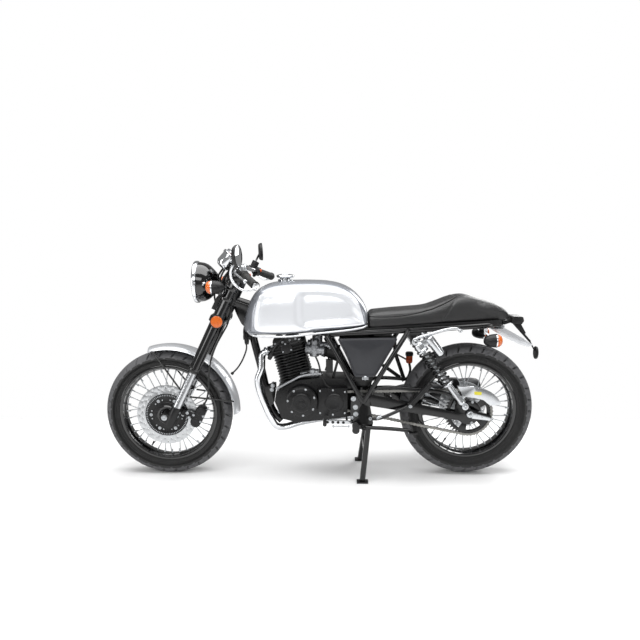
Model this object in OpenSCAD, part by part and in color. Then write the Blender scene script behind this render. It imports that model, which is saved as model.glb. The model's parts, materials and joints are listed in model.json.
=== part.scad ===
// Cafe racer motorcycle, air-cooled single, parked upright on its centre stand.
// Millimetres. -X is forward, +Y is the rider's right, +Z is up.
// The origin is on the ground under the middle of the machine.

/* [Wheels] */
// Distance between the two axles
wheelbase = 1396; // [1200:1:1700]
// Outer radius of the front tyre
front_tyre_r = 295; // [270:1:360]
// Outer radius of the rear tyre
rear_tyre_r = 309; // [270:1:375]
// Width of the front tyre
front_tyre_w = 112; // [90:1:136]
// Width of the rear tyre
rear_tyre_w = 132; // [105:1:145]
// Radius of the rim's bead seat
rim_r = 218; // [200:1:240]
// Width of the front rim inside its flanges
front_rim_w = 70; // [55:1:90]
// Width of the rear rim inside its flanges
rear_rim_w = 88; // [70:1:105]
// Diameter of a spoke
spoke_d = 4; // [3:0.5:6]
// Spokes in each wheel
spoke_n = 36; // [24:4:48]
// Outer radius of the front brake disc
front_disc_r = 140; // [110:1:160]
// Outer radius of the rear brake disc
rear_disc_r = 112; // [90:1:130]
// Radius of the rear sprocket, at its chain's pins
sprocket_r = 106; // [85:1:120]
// Radius of the front axle
front_axle_r = 8.5; // [7:0.5:11]
// Bore through the hollow front axle
axle_bore_r = 5; // [3:0.5:6]
// Radius of the rear axle
rear_axle_r = 8.5; // [7:0.5:11]
// Air under the rear tyre on the stand
rear_lift = 6; // [3:1:30]

/* [Steering] */
// Angle of the steering axis from upright
rake = 26; // [20:0.5:32]
// How far the front axle lies ahead of the steering axis
axle_offset = 44; // [36:1:60]
// How far the fork tubes lie ahead of the steering axis
clamp_offset = 12; // [6:1:20]
// Distance between the two fork tubes
fork_spacing = 200; // [190:1:240]
// Outer radius of the black fork tubes
fork_tube_r = 25; // [22:0.5:28]
// Outer radius of the bright sliders
stanchion_r = 20; // [17:0.5:21]
// Height of the fork tubes' tops, along the axis
fork_l = 740; // [700:1:860]
// Half the width over the handlebar's ends
bar_half_w = 335; // [290:1:400]
// Radius of the handlebar
bar_r = 11; // [9:0.5:13]
// Outer radius of the headlight's ring
headlight_r = 95; // [75:1:110]
// Radius of a mirror's head
mirror_r = 44; // [35:1:55]

/* [Frame] */
// Distance from the rear axle to the swingarm's pivot
swingarm_l = 488; // [440:1:600]
// Height of the swingarm's pivot
pivot_z = 370; // [340:1:400]
// Radius of the backbone tube
backbone_r = 26; // [20:1:30]
// Radius of the downtube
downtube_r = 18; // [14:1:22]
// Radius of the side and seat tubes
rail_r = 12.5; // [10:0.5:14]
// Distance from the middle to a seat rail
rail_y = 105; // [95:1:120]
// How far the last reflector lies behind the rear axle
tail_reach = 323; // [300:1:420]

/* [Bodywork] */
// Length of the fuel tank
tank_l = 560; // [480:1:600]
// Greatest width of the fuel tank
tank_w = 284; // [240:1:320]
// Greatest height of the fuel tank
tank_h = 240; // [200:1:280]
// Length of the seat
seat_l = 648; // [540:1:760]
// Greatest width of the seat
seat_w = 236; // [200:1:260]
// Radius of the muffler
muffler_r = 46; // [36:1:52]

/* [Hidden] */
$fn = 48;

run = 0.05;       // running clearance of a shaft in its bore, on the radius
gap = 0.3;        // air between pieces that move past each other
seam = 0.2;       // air between pieces that are bolted together
sink = 2;         // how far welded tubes run into each other
clear = 6;        // least air round a moving piece
through = 200;    // reach of a bore's cutter to either side

// --- places that follow from the sizes ---
overall_l = front_tyre_r + wheelbase + tail_reach;
front_x = front_tyre_r - overall_l / 2;
front_z = front_tyre_r;
rear_x = front_x + wheelbase;
rear_z = rear_tyre_r + rear_lift;
pivot_x = rear_x - swingarm_l;
steer_x = front_x + axle_offset * cos(rake);
steer_z = front_z - axle_offset * sin(rake);
leg_y = fork_spacing / 2;
chain_h = 15;
chain_w = 16;
chain_gap = 1.5;  // air between the chain and its sprocket
sprocket_t = 7;
sprocket_y = -rear_tyre_w / 2 - clear - chain_w / 2;
guard_room = 6;   // room for the chain guard between chain and swingarm
guard_t = 2.4;
guard_y = sprocket_y - chain_w / 2 - 2 - guard_t;
arm_w = 18;
arm_y = -sprocket_y + chain_w / 2 + guard_room + arm_w / 2;
side_t = 16;      // thickness of the plates beside the swingarm's pivot
side_y = arm_y + arm_w / 2 + 1 + side_t - 4;
side_tube_r = 11;
shock_y = arm_y + 31;
crank_half = 82;

// A point given by its distance behind the steering axis, its side and its height along the axis
function steer_at(b, y, h) = [steer_x + b * cos(rake) + h * sin(rake), y,
    steer_z - b * sin(rake) + h * cos(rake)];
// A point given from the swingarm's pivot
function pv(dx, y, dz) = [pivot_x + dx, y, pivot_z + dz];
// A point given from the rear axle
function ra(dx, y, dz) = [rear_x + dx, y, rear_z + dz];
function flip(p) = [for (q = p) [q[0], -q[1], q[2]]];
function unit(v) = v / norm(v);

// --- smooth paths and skins ---
function spline_at(a, b, c, d, t) =
    0.5 * (2 * b + (c - a) * t + (2 * a - 5 * b + 4 * c - d) * t * t + (3 * b - a - 3 * c + d)
        * t * t * t);
function smooth(p, k) = let (n = len(p)) concat(
    [for (i = [0:n - 2], j = [0:k - 1])
        spline_at(p[max(i - 1, 0)], p[i], p[i + 1], p[min(i + 2, n - 1)], j / k)], [p[n - 1]]);
function heading(p, i) = let (n = len(p))
    unit((i > 0 ? unit(p[i] - p[i - 1]) : [0, 0, 0]) + (i < n - 1 ? unit(p[i + 1] - p[i]) : [0, 0, 0]));
function ring(c, t, r, ref, n) = let (a = unit(cross(t, ref)), b = cross(t, a))
    [for (i = [0:n - 1]) c + r * (cos(360 * i / n) * a + sin(360 * i / n) * b)];

// Closed skin over rings that each have the same number of points
module skin(rings) {
    m = len(rings);
    n = len(rings[0]);
    polyhedron(points = [for (r = rings, q = r) q], faces = concat(
        [[for (i = [0:n - 1]) i]],
        [for (j = [0:m - 2], i = [0:n - 1]) [j * n + i, (j + 1) * n + i, (j + 1) * n + (i + 1) % n]],
        [for (j = [0:m - 2], i = [0:n - 1]) [j * n + i, (j + 1) * n + (i + 1) % n, j * n + (i + 1) % n]],
        [[for (i = [n - 1:-1:0]) (m - 1) * n + i]]));
}

// Round tube along a path
module tube(path, r, ref = [0, 1, 0], sides = 16)
    skin([for (i = [0:len(path) - 1]) ring(path[i], heading(path, i), r, ref, sides)]);

// Straight round bar between two points
module rod(a, b, r) {
    d = b - a;
    translate(a) rotate([0, acos(d[2] / norm(d)), atan2(d[1], d[0])]) cylinder(r = r, h = norm(d));
}

// Round bar along Y through a point
module pin_y(p, r, y0, y1) translate([p[0], y0, p[2]]) rotate([-90, 0, 0]) cylinder(r = r, h = y1 - y0);

module both() {
    children();
    mirror([0, 1, 0]) children();
}

// Upright plate of an outline in X and Z, between two Y values
module plate(points, y0, y1) translate([0, y1, 0]) rotate([90, 0,
    0]) linear_extrude(y1 - y0) polygon(points);

// Puts what is drawn on the steering axis in its place: X back, Z up along the axis
module steered() translate([steer_x, 0, steer_z]) rotate([0, rake, 0]) children();

// Turns a profile of radius and side about a wheel's axle
module turned(x, z) translate([x, 0, z]) rotate([90, 0, 0]) rotate_extrude($fn = 96) children();

// --- wheels ---
flange_h = 12;
rim_wall = 4;
tyre_steps = 8;

// Half of a tyre's section, as radius and side
function tyre_half(r, w, rw) = let (mid = rim_r + (r - rim_r) * 0.52) concat(
    [[rim_r + gap, rw / 2 - gap], [rim_r + flange_h + gap, rw / 2 - gap]],
    [for (i = [0:3]) let (a = 90 * i / 4) [rim_r + flange_h + gap + (mid - rim_r - flange_h) * sin(a),
        rw / 2 + (w / 2 - rw / 2) * (1 - cos(a)) ]],
    [for (i = [0:tyre_steps]) let (a = 90 * i / tyre_steps) [mid + (r - mid) * sin(a),
        w / 2 * pow(cos(a), 0.8)]]);

module tyre(x, z, r, w, rw) {
    half = tyre_half(r, w, rw);
    n = len(half);
    turned(x, z) polygon(concat(half, [for (i = [n - 2:-1:0]) [half[i][0], -half[i][1]]]));
}

// Rim with two flanges and a deeper well in the middle
module rim(x, z, rw) {
    well = rw / 5;
    deep = 9;
    outer = [[rim_r + flange_h, rw / 2 + rim_wall], [rim_r + flange_h, rw / 2], [rim_r, rw / 2],
        [rim_r - 1, well + deep], [rim_r - deep, well]];
    inner = [[rim_r - rim_wall, rw / 2 + rim_wall], [rim_r - rim_wall - 1, well + deep],
        [rim_r - deep - rim_wall, well]];
    turned(x, z) polygon(concat(outer, [for (i = [len(outer) - 1:-1:0]) [outer[i][0], -outer[i][1]]],
        [for (p = inner) [p[0], -p[1]]], [for (i = [len(inner) - 1:-1:0]) inner[i]]));
}

spoke_lean = 38;  // how far round a spoke runs from hub to rim, degrees
module spokes(x, z, hub_r, hub_y) {
    step = 360 / spoke_n;
    end_r = rim_r - 9 - rim_wall + sink;
    translate([x, 0, z]) for (i = [0:spoke_n - 1]) {
        side = i % 2 == 0 ? 1 : -1;
        lead = floor(i / 2) % 2 == 0 ? 1 : -1;
        a = i * step;
        b = a + lead * spoke_lean;
        rod([(hub_r - sink) * cos(b), side * (hub_y + lead * spoke_d * 0.8), (hub_r - sink) * sin(b)],
            [end_r * cos(a), side * 6, end_r * sin(a)], spoke_d / 2);
    }
}

hub_flange_r = 42;
hub_core_r = 26;
front_hub_y = 32;
rear_hub_y = 34;
hub_flange_w = 12;
disc_t = 5;
front_disc_y = -62;
rear_disc_y = 66;

module hub(x, z, half_w, flange_y, bore_r) {
    difference() {
        union() {
            pin_y([x, 0, z], hub_core_r, -half_w, half_w);
            for (s = [-1, 1])
                pin_y([x, 0, z], hub_flange_r, s * flange_y - hub_flange_w / 2,
                    s * flange_y + hub_flange_w / 2);
        }
        pin_y([x, 0, z], bore_r + run, -half_w - 1, half_w + 1);
    }
}

front_hub_half = 58;
rear_hub_half = 62;
module front_tyre() color("#1b1b1c") tyre(front_x, front_z, front_tyre_r, front_tyre_w, front_rim_w);
module rear_tyre() color("#1b1b1c") tyre(rear_x, rear_z, rear_tyre_r, rear_tyre_w, rear_rim_w);
module front_rim() color("#101011") rim(front_x, front_z, front_rim_w);
module rear_rim() color("#101011") rim(rear_x, rear_z, rear_rim_w);
module front_spokes() color("#c9cbcc") spokes(front_x, front_z, hub_flange_r, front_hub_y);
module rear_spokes() color("#c9cbcc") spokes(rear_x, rear_z, hub_flange_r, rear_hub_y);
module front_hub() color("#161617") hub(front_x, front_z, front_hub_half, front_hub_y, front_axle_r);
module rear_hub() color("#161617") hub(rear_x, rear_z, rear_hub_half, rear_hub_y, rear_axle_r);

// Brake disc with a carrier that seats on the hub's end
module brake_disc(x, z, r, y, width) {
    holes = 24;
    difference() {
        pin_y([x, 0, z], r, y - disc_t / 2, y + disc_t / 2);
        pin_y([x, 0, z], hub_core_r + seam, y - disc_t, y + disc_t);
        for (i = [0:holes - 1], k = [0, 1])
            pin_y([x + (r - width * (0.3 + 0.4 * k)) * cos(360 * (i + k / 2) / holes), 0,
                z + (r - width * (0.3 + 0.4 * k)) * sin(360 * (i + k / 2) / holes)], 3, y - disc_t,
                    y + disc_t);
    }
}
module front_disc() color("#c4c6c8") {
    brake_disc(front_x, front_z, front_disc_r, front_disc_y, 36);
    difference() {
        pin_y([front_x, 0, front_z], hub_flange_r + 8, front_disc_y + disc_t / 2,
            -front_hub_y - hub_flange_w / 2);
        pin_y([front_x, 0, front_z], hub_core_r + seam, front_disc_y - disc_t, 0);
    }
}
module rear_disc() color("#c4c6c8") {
    brake_disc(rear_x, rear_z, rear_disc_r, rear_disc_y, 32);
    difference() {
        pin_y([rear_x, 0, rear_z], hub_flange_r + 8, rear_hub_y + hub_flange_w / 2,
            rear_disc_y - disc_t / 2);
        pin_y([rear_x, 0, rear_z], hub_core_r + seam, 0, rear_disc_y + disc_t);
    }
}
module rear_sprocket() color("#2a2a2b") difference() {
    union() {
        pin_y([rear_x, 0, rear_z], sprocket_r - chain_h / 2 - chain_gap, sprocket_y - sprocket_t / 2,
            sprocket_y + sprocket_t / 2);
        pin_y([rear_x, 0, rear_z], hub_flange_r + 10, sprocket_y, -rear_hub_y - hub_flange_w / 2);
    }
    pin_y([rear_x, 0, rear_z], hub_core_r + seam, sprocket_y - sprocket_t, 0);
}

// --- front axle and fork ---
leg_front = axle_offset - clamp_offset;   // how far the axle lies ahead of the leg
spacer_t = 4.5;                           // wall of the sleeves beside the hubs
seal_h = 250;
module front_axle() color("#c9cbcc") difference() {
    union() {
        pin_y([front_x, 0, front_z], front_axle_r, -leg_y - 14, leg_y + 14);
        pin_y([front_x, 0, front_z], front_axle_r + 4, -leg_y - 14, -leg_y - 9);
        both() pin_y([front_x, 0, front_z], front_axle_r + spacer_t, front_hub_half + gap, leg_y - 24);
    }
    pin_y([front_x, 0, front_z], axle_bore_r, -leg_y - 20, leg_y + 20);
}
module fork_legs() color("#bfc1c3") both() difference() {
    union() {
        steered() translate([-clamp_offset, leg_y, 60]) cylinder(r = stanchion_r, h = seal_h + 20 - 60);
        steered() translate([-clamp_offset, leg_y, -28]) cylinder(r = stanchion_r + 4, h = 96);
        steered() translate([-axle_offset, leg_y, 0]) rotate([-90, 0, 0]) cylinder(r = 22, h = 40,
            center = true);
        steered() translate([-axle_offset, leg_y - 20, -22]) cube([leg_front, 40, 44]);
    }
    pin_y([front_x, 0, front_z], front_axle_r + seam / 2, leg_y - 50, leg_y + 9 - seam);
    pin_y([front_x, 0, front_z], front_axle_r + 4 + seam, leg_y + 9 - seam, leg_y + 50);
}
module fork_tubes() color("#0e0e0f") steered() both() translate([-clamp_offset, leg_y, 0]) difference() {
    union() {
        translate([0, 0, seal_h + 18]) cylinder(r = fork_tube_r, h = fork_l - seal_h - 18);
        translate([0, 0, seal_h]) cylinder(r = fork_tube_r + 2, h = 20);
        translate([0, 0, fork_l]) cylinder(r = fork_tube_r - 6, h = 8);
    }
    translate([0, 0, seal_h - 1]) cylinder(r = stanchion_r + seam / 2, h = 22);
}

lower_h = 500;
upper_h = 712;
clamp_t = 24;
stem_r = 14;
head_r = 29;
head_low = lower_h + clamp_t + 8;
head_high = upper_h - 6;
module clamp_outline() {
    difference() {
        hull() {
            circle(r = head_r - 1);
            for (s = [-1, 1]) translate([-clamp_offset, s * leg_y]) circle(r = fork_tube_r + 9);
        }
        for (s = [-1, 1]) translate([-clamp_offset, s * leg_y]) circle(r = fork_tube_r + seam);
    }
}
module triple_clamps() color("#141415") steered() {
    for (h = [lower_h, upper_h])
        translate([0, 0, h]) linear_extrude(clamp_t) clamp_outline();
    cylinder_from(lower_h + clamp_t - 1, upper_h + 1, stem_r);
}
module cylinder_from(z0, z1, r) translate([0, 0, z0]) cylinder(r = r, h = z1 - z0);

// --- handlebar and what is on it ---
bar_h = 762;
bar_b = -15;
function bar_side(s) = [[bar_b, 0, bar_h], [bar_b, s * 60, bar_h], [bar_b + 6, s * 110, bar_h],
    [20, s * 190, bar_h - 4]];
function bar_end(s) = [20 + (bar_half_w - 190) * 0.53, s * bar_half_w, bar_h - 8];
function bar_pt(s, t) = bar_side(s)[3] + (bar_end(s) - bar_side(s)[3]) * t;
function bar_path(s) = concat(bar_side(s), [bar_pt(s, 0.012), bar_end(s)]);
module handlebars() color("#c9cbcc") steered() {
    tube(concat([for (i = [5:-1:1]) bar_path(-1)[i]], bar_path(1)), bar_r, [0, 0, 1]);
    for (s = [-1, 1]) translate([bar_b, s * 40, upper_h + clamp_t + seam]) hull() {
        cylinder(r = 14, h = 2);
        translate([0, 10, bar_h - upper_h - clamp_t - seam]) rotate([90, 0, 0]) cylinder(r = bar_r + 6,
            h = 20);
    }
}
grip_r = 17;
module grips() color("#161616") steered() for (s = [-1, 1]) difference() {
    union() {
        rod(bar_pt(s, 0.22), bar_pt(s, 0.985), grip_r);
        rod(bar_pt(s, 0.2), bar_pt(s, 0.25), grip_r + 4);
    }
    rod(bar_pt(s, 0.1), bar_pt(s, 1.2), bar_r + seam);
}
module control_levers() color("#b9bbbd") steered() for (s = [-1, 1]) {
    difference() {
        union() {
            rod(bar_pt(s, 0.06), bar_pt(s, 0.19), 19);
            translate(bar_pt(s, 0.1) + [-26, 0, 0]) cube([30, 30, 22], center = true);
            if (s > 0) translate(bar_pt(s, 0.12) + [-20, 0, 24]) cylinder(r = 17, h = 34, center = true);
        }
        rod(bar_pt(s, -0.05), bar_pt(s, 0.5), bar_r + gap);
    }
    tube(smooth([bar_pt(s, 0.1) + [-38, 0, 0], bar_pt(s, 0.25) + [-52, 0, -3], bar_pt(s, 0.6) + [-48,
        0, -4],
        bar_pt(s, 0.9) + [-40, 0, -4]], 4), 5.5, [0, 0, 1], 12);
    translate(bar_pt(s, 0.92) + [-39, 0, -4]) sphere(r = 9);
}
mirror_y = 415;
module mirrors() steered() for (s = [-1, 1]) {
    color("#c9cbcc") {
        tube(smooth([bar_pt(s, 1.03), bar_pt(s, 1.1) + [-2, s * 2, -8], [69, s * (bar_half_w + 30),
            bar_h - 40],
            [37, s * (bar_half_w + 40), bar_h - 38], [11, s * (bar_half_w + 52), bar_h - 24],
            [-9, s * (bar_half_w + 66), bar_h + 8], [-11, s * mirror_y, bar_h + 62]], 4), 5, [0, 1,
                0.4], 12);
        rod(bar_pt(s, 1.002), bar_pt(s, 1.07), 14);
    }
    color("#202021") translate([-10, s * mirror_y, bar_h + 74]) rotate([0, 62, s * 12])
        translate([0, 0, -6]) cylinder(r1 = mirror_r - 6, r2 = mirror_r, h = 14);
}
gauge_r = 40;
gauge_lean = 42;   // turns the faces up to the rider
module gauges() color("#c9cbcc") {
    for (s = [-1, 1]) translate(steer_at(-76, s * 46, 800)) rotate([0, gauge_lean, 0]) {
        translate([0, 0, -62]) cylinder(r = gauge_r - 3, h = 62);
        translate([0, 0, -12]) cylinder(r = gauge_r, h = 12);
        translate([0, 0, -72]) cylinder(r1 = gauge_r - 14, r2 = gauge_r - 3, h = 11);
    }
    steered() translate([-90, -60, upper_h + clamp_t + seam]) cube([58, 120, 5]);
}
// --- lights on the steering ---
light_b = -164;
light_h = 620;
module headlight() {
    c = steer_at(light_b, 0, light_h);
    color("#151516") translate(c) rotate([0, 90, 0]) rotate_extrude($fn = 72)
        polygon([[0, -6], [headlight_r - 6, -6], [headlight_r - 6, 0], [headlight_r - 7, 24],
            [headlight_r - 18, 42],
            [headlight_r - 36, 58], [headlight_r - 56, 74], [headlight_r - 70, 88], [0, 92]]);
    color("#c9cbcc") translate(c) rotate([0, 90, 0]) rotate_extrude($fn = 72)
        polygon([[0, -34], [headlight_r * 0.5, -31], [headlight_r - 14, -20], [headlight_r - 8, -22],
            [headlight_r, -12], [headlight_r, -4], [headlight_r - 6, -3], [0, -3]]);
    color("#151516") for (s = [-1, 1]) {
        pin_y(c + [38, 0, -4], 9, s > 0 ? headlight_r - 24 : -leg_y - 6,
            s > 0 ? leg_y + 6 : 24 - headlight_r);
        steered() difference() {
            union() {
                translate([-clamp_offset, s * leg_y, 610]) cylinder(r = fork_tube_r + 5, h = 70);
                translate([-clamp_offset - 108, s * leg_y - 3, 622]) cube([90, 6, 40]);
            }
            translate([-clamp_offset, s * leg_y, 600]) cylinder(r = fork_tube_r + seam, h = 90);
        }
    }
}
signal_r = 30;
// Bullet-shaped turn signal, its lens facing -X
module signal() rotate([0, 90, 0]) rotate_extrude()
    polygon([[0, -38], [signal_r * 0.7, -34], [signal_r - 3, -24], [signal_r, -14], [signal_r, 0],
        [signal_r - 4, 22],
        [signal_r - 14, 38], [0, 44]]);
module front_turn_signals() color("#202021") for (s = [-1, 1]) {
    translate(steer_at(-73, s * 160, 650)) signal();
    pin_y(steer_at(-73, 0, 650), 8, s > 0 ? leg_y + 3 + seam : -160, s > 0 ? 160 : -leg_y - 3 - seam);
}

// --- front fender and caliper ---
fender_r = 320;
fender_w = 124;
fender_t = 3;
fender_x = 12;
fender_z = 6;
fender_boss_h = 316;
function fender_arc(r, n) = [for (i = [0:n]) let (a = -66 + 132 * i / n) [fender_r - 34 + r * cos(a)
    * 0.52,
    r * sin(a) / sin(66)]];
module front_fender() color("#b8babc") {
    stay_y = leg_y - stanchion_r - 4.5;
    translate([front_x + fender_x, 0, front_z + fender_z]) rotate([90, 0, 0]) rotate([0, 0, -1])
        rotate_extrude(angle = 108, $fn = 96) polygon(concat(fender_arc(fender_w / 2 + fender_t, 12),
            [for (i = [12:-1:0]) fender_arc(fender_w / 2, 12)[i]]));
    for (s = [-1, 1]) {
        rod([front_x - 56, s * (fender_w / 2 + 1), front_z + 300], steer_at(-14, s * stay_y, 128), 4);
        rod([front_x + fender_x + 302, s * (fender_w / 2 + 1), front_z + 64], steer_at(18, s * stay_y,
            128), 4);
        steered() translate([-clamp_offset - 20, s * stay_y - 3.5, 118]) cube([40, 7, 20]);
        steered() translate([-clamp_offset, s * 52, fender_boss_h]) rotate([s * -90, 0, 0])
            cylinder(r = 9, h = leg_y - fork_tube_r - seam - 52);
    }
}
module front_caliper() color("#1a1a1b") steered() difference() {
    union() {
        hull() for (h = [36, 92]) translate([92, -98, h]) rotate([-90, 0, 0]) cylinder(r = 24, h = 50);
        hull() {
            translate([-clamp_offset + stanchion_r, -leg_y + 4, 52]) rotate([-90, 0,
                0]) cylinder(r = 12, h = 12);
            translate([84, -leg_y + 4, 60]) rotate([-90, 0, 0]) cylinder(r = 16, h = 12);
        }
    }
    translate([-axle_offset, front_disc_y - disc_t / 2 - 3, 0]) rotate([-90, 0, 0])
        cylinder(r = front_disc_r + 5, h = disc_t + 6);
    translate([-clamp_offset, -leg_y, 0]) cylinder(r = stanchion_r + 4 + seam, h = 200);
}
// Hose from the caliper up behind the left leg, past the head and forward round to the right lever
hose_r = 4;
hose_ends = [[92, -86, 116.2], [-4, 189.3, 757]];
hose_route = smooth([hose_ends[0] + [0, 0, 12], [95, -100, 158], [86, -116, 205], [62, -126, 270], [42,
    -128, 334],
    [34, -126, 409], [36, -110, 470], [36, -84, 522], [14, -64, 600], [-22, -56, 660], [-54, -36, 700],
    [-62, 0, 706], [-60, 48, 706], [-57, 88, 716], [-52, 122, 738], [-30, 152, 752], hose_ends[1] - [0,
        14, 0]], 3);
module front_brake_hose() color("#161617") steered()
    tube(concat([hose_ends[0]], hose_route, [hose_ends[1]]), hose_r, [1, 0, 0], 10);
// --- frame ---
rail_z = 316;       // height of the seat rails' front above the pivot
head_top = steer_at(0, 0, head_high);
head_foot = steer_at(0, 0, head_low);
back_front = steer_at(0, 0, head_low + 74);
back_rear = pv(-150, 0, rail_z - 12);
down_top = back_front + (back_rear - back_front) * 0.16 + [0, 0, -4];
down_path = smooth([down_top, pv(-507, 0, 286), pv(-475, 0, 151), pv(-443, 0, -2), pv(-420, 0, -72),
    pv(-379, 0, -117)], 3);
cross_y = rail_y + rail_r;
module main_frame() color("#121213") {
    difference() {
        union() {
            steered() cylinder_from(head_low, head_high, head_r);
            rod(back_front, back_rear, backbone_r);
            tube(down_path, downtube_r);
            plate([[back_front[0], back_front[2]], [down_top[0] + 40, down_top[2]], [pivot_x - 506,
                pivot_z + 290]], -4, 4);
        }
        steered() cylinder_from(head_low - 5, head_high + 5, stem_r + run * 4);
    }
    pin_y(back_rear, rail_r + 3, -rail_y, rail_y);
    both() plate([[pivot_x - 472, pivot_z + 106], [pivot_x - 455, pivot_z + 50], [pivot_x - 404,
        pivot_z + 64],
        [pivot_x - 404, pivot_z + 40], [pivot_x - 414, pivot_z - 30], [pivot_x - 436, pivot_z - 50]],
        downtube_r - 2, downtube_r + 4);
}
pivot_pin_r = 9;    // bore for the swingarm's bolt
module side_half() {
    tube([pv(-164, side_y, rail_z - 10), pv(0, side_y, -2)], side_tube_r);
    tube([pv(199, side_y, rail_z + 14), pv(0, side_y, -2)], side_tube_r);
    for (x = [-164, 199]) pin_y(pv(x, 0, rail_z - (x < 0 ? 10 : -14)), 9, rail_y, side_y);
    difference() {
        union() {
            plate([[pivot_x - 22, pivot_z + 34], [pivot_x + 26, pivot_z + 34], [pivot_x + 34,
                pivot_z - 20],
                [pivot_x + 48, pivot_z - 94], [pivot_x + 40, pivot_z - 124], [pivot_x - 20,
                    pivot_z - 124],
                [pivot_x - 56, pivot_z - 88], [pivot_x - 54, pivot_z + 22]], side_y - side_t + 4,
                    side_y + 4);
            pin_y(pv(-46, 0, -75), 9, crank_half, side_y);
            pin_y(pv(-42, 0, 17), 9, crank_half, side_y);
        }
        pin_y([pivot_x, 0, pivot_z], pivot_pin_r + seam, 0, through);
    }
}
module side_frame() color("#121213") {
    both() side_half();
    pin_y([stand_x, 0, stand_z], stand_pin_r, -side_y, side_y);
    rod(side_pin - 9 * side_axis, side_pin + 22 * side_axis, side_pin_r);
}
rail_path = smooth([pv(-164, rail_y, rail_z - 8), pv(-80, rail_y, rail_z - 2), pv(60, rail_y, rail_z + 4),
    pv(340, rail_y, rail_z + 20), pv(520, rail_y - 8, rail_z + 31), pv(604, rail_y - 36, rail_z + 35),
    pv(630, rail_y - 76, rail_z + 36), pv(634, 0, rail_z + 36)], 4);
shock_top = pv(229, 0, 282);
shock_pin_r = 7;
module seat_rails() color("#121213") {
    both() tube(rail_path, rail_r);
    for (x = [40, 300, 470]) pin_y(pv(x, 0, rail_z + 3 + x * 0.056), 9, -rail_y + 4, rail_y - 4);
    both() {
        plate([[shock_top[0] - 18, shock_top[2] - 14], [shock_top[0] + 18, shock_top[2] - 14],
            [shock_top[0] + 34, shock_top[2] + 52], [shock_top[0] - 34, shock_top[2] + 46]],
                rail_y - 5, rail_y + 5);
        pin_y(shock_top, shock_pin_r, rail_y, shock_y + 20);
    }
}
// --- swingarm ---
bobbin_r = 4;      // threaded hole for a paddock stand's bobbin
module swingarm() color("#141415") difference() {
    union() {
        pin_y([pivot_x, 0, pivot_z], 22, -side_y + side_t - 4 + seam, side_y - side_t + 4 - seam);
        for (s = [-1, 1]) {
            translate([0, s * arm_y, 0]) {
                plate([[pivot_x - 4, pivot_z + 24], [pivot_x + 40, pivot_z + 34], [rear_x - 60,
                    rear_z + 6],
                    [rear_x + 96, rear_z - 8], [rear_x + 98, rear_z - 26], [rear_x - 30, rear_z - 34],
                    [pivot_x + 30, pivot_z - 18]], -arm_w / 2, arm_w / 2);
                plate([[rear_x - 70, rear_z - 20], [rear_x - 66, rear_z + 66], [rear_x - 20, rear_z + 66],
                    [rear_x + 6, rear_z + 20], [rear_x + 96, rear_z - 8], [rear_x, rear_z - 34]], -8, 8);
            }
            tube(smooth([pv(40, s * arm_y, 30), pv(70, s * arm_y, 66), pv(240, s * arm_y, 58),
                ra(-110, s * arm_y, 96), ra(-46, s * arm_y, 58)], 3), arm_w / 2);
        }
        pin_y(pv(120, 0, 10), 16, -arm_y, arm_y);
    }
    pin_y([pivot_x, 0, pivot_z], pivot_pin_r + seam, -through, through);
    pin_y([rear_x, 0, rear_z], rear_axle_r + seam / 2, -through, through);
    both() pin_y(ra(40, 0, -16), bobbin_r, arm_y + arm_w / 2 - 12, arm_y + arm_w / 2 + 1);
}
module rear_axle() color("#c9cbcc") {
    end = arm_y + arm_w / 2;
    pin_y([rear_x, 0, rear_z], rear_axle_r, -end - 18, end + 18);
    both() {
        pin_y([rear_x, 0, rear_z], rear_axle_r + 7, end + seam, end + 12);
        pin_y([rear_x, 0, rear_z], rear_axle_r + spacer_t, rear_hub_half + gap, arm_y - arm_w / 2 - seam);
    }
}
// --- shocks ---
shock_foot = ra(-28, 0, 41);
coil_n = 10;
coil_step = 17;
module rear_shocks() color("#c9cbcc") both() {
    a = [shock_top[0], shock_y, shock_top[2]];
    b = [shock_foot[0], shock_y, shock_foot[2]];
    d = b - a;
    l = norm(d);
    difference() {
        translate(a) rotate([0, acos(d[2] / l), atan2(d[1], d[0])]) {
            rotate([90, 0, 0]) cylinder(r = 15, h = 24, center = true);
            translate([0, 0, 8]) cylinder(r = 20, h = 40);
            translate([0, 0, 44]) cylinder(r = 27, h = 10);
            translate([0, 0, 50]) cylinder(r = 17, h = l - 160);
            for (i = [0:coil_n - 1])
                translate([0, 0, 62 + i * coil_step]) rotate_extrude() translate([23,
                    0]) circle(r = 4.5, $fn = 16);
            translate([0, 0, 56 + coil_n * coil_step]) cylinder(r = 28, h = 9);
            translate([0, 0, 240]) cylinder(r = 9, h = l - 250);
            translate([0, 0, l - 55]) cylinder(r = 16, h = 50);
            translate([0, 0, l]) rotate([90, 0, 0]) cylinder(r = 14, h = 24, center = true);
            for (i = [0:coil_n - 1]) translate([17, -3, 60 + i * coil_step]) cube([9, 6, 4]);
            translate([-56, 0, 26]) cylinder(r = 19, h = 97);
            translate([-56, -12, 20]) cube([56, 24, 22]);
        }
        pin_y(a, shock_pin_r + seam / 2, 0, through);
        pin_y(b, shock_pin_r + seam / 2, 0, through);
    }
    pin_y(b, shock_pin_r, arm_y + 8 + seam, shock_y + 20);
}

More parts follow.
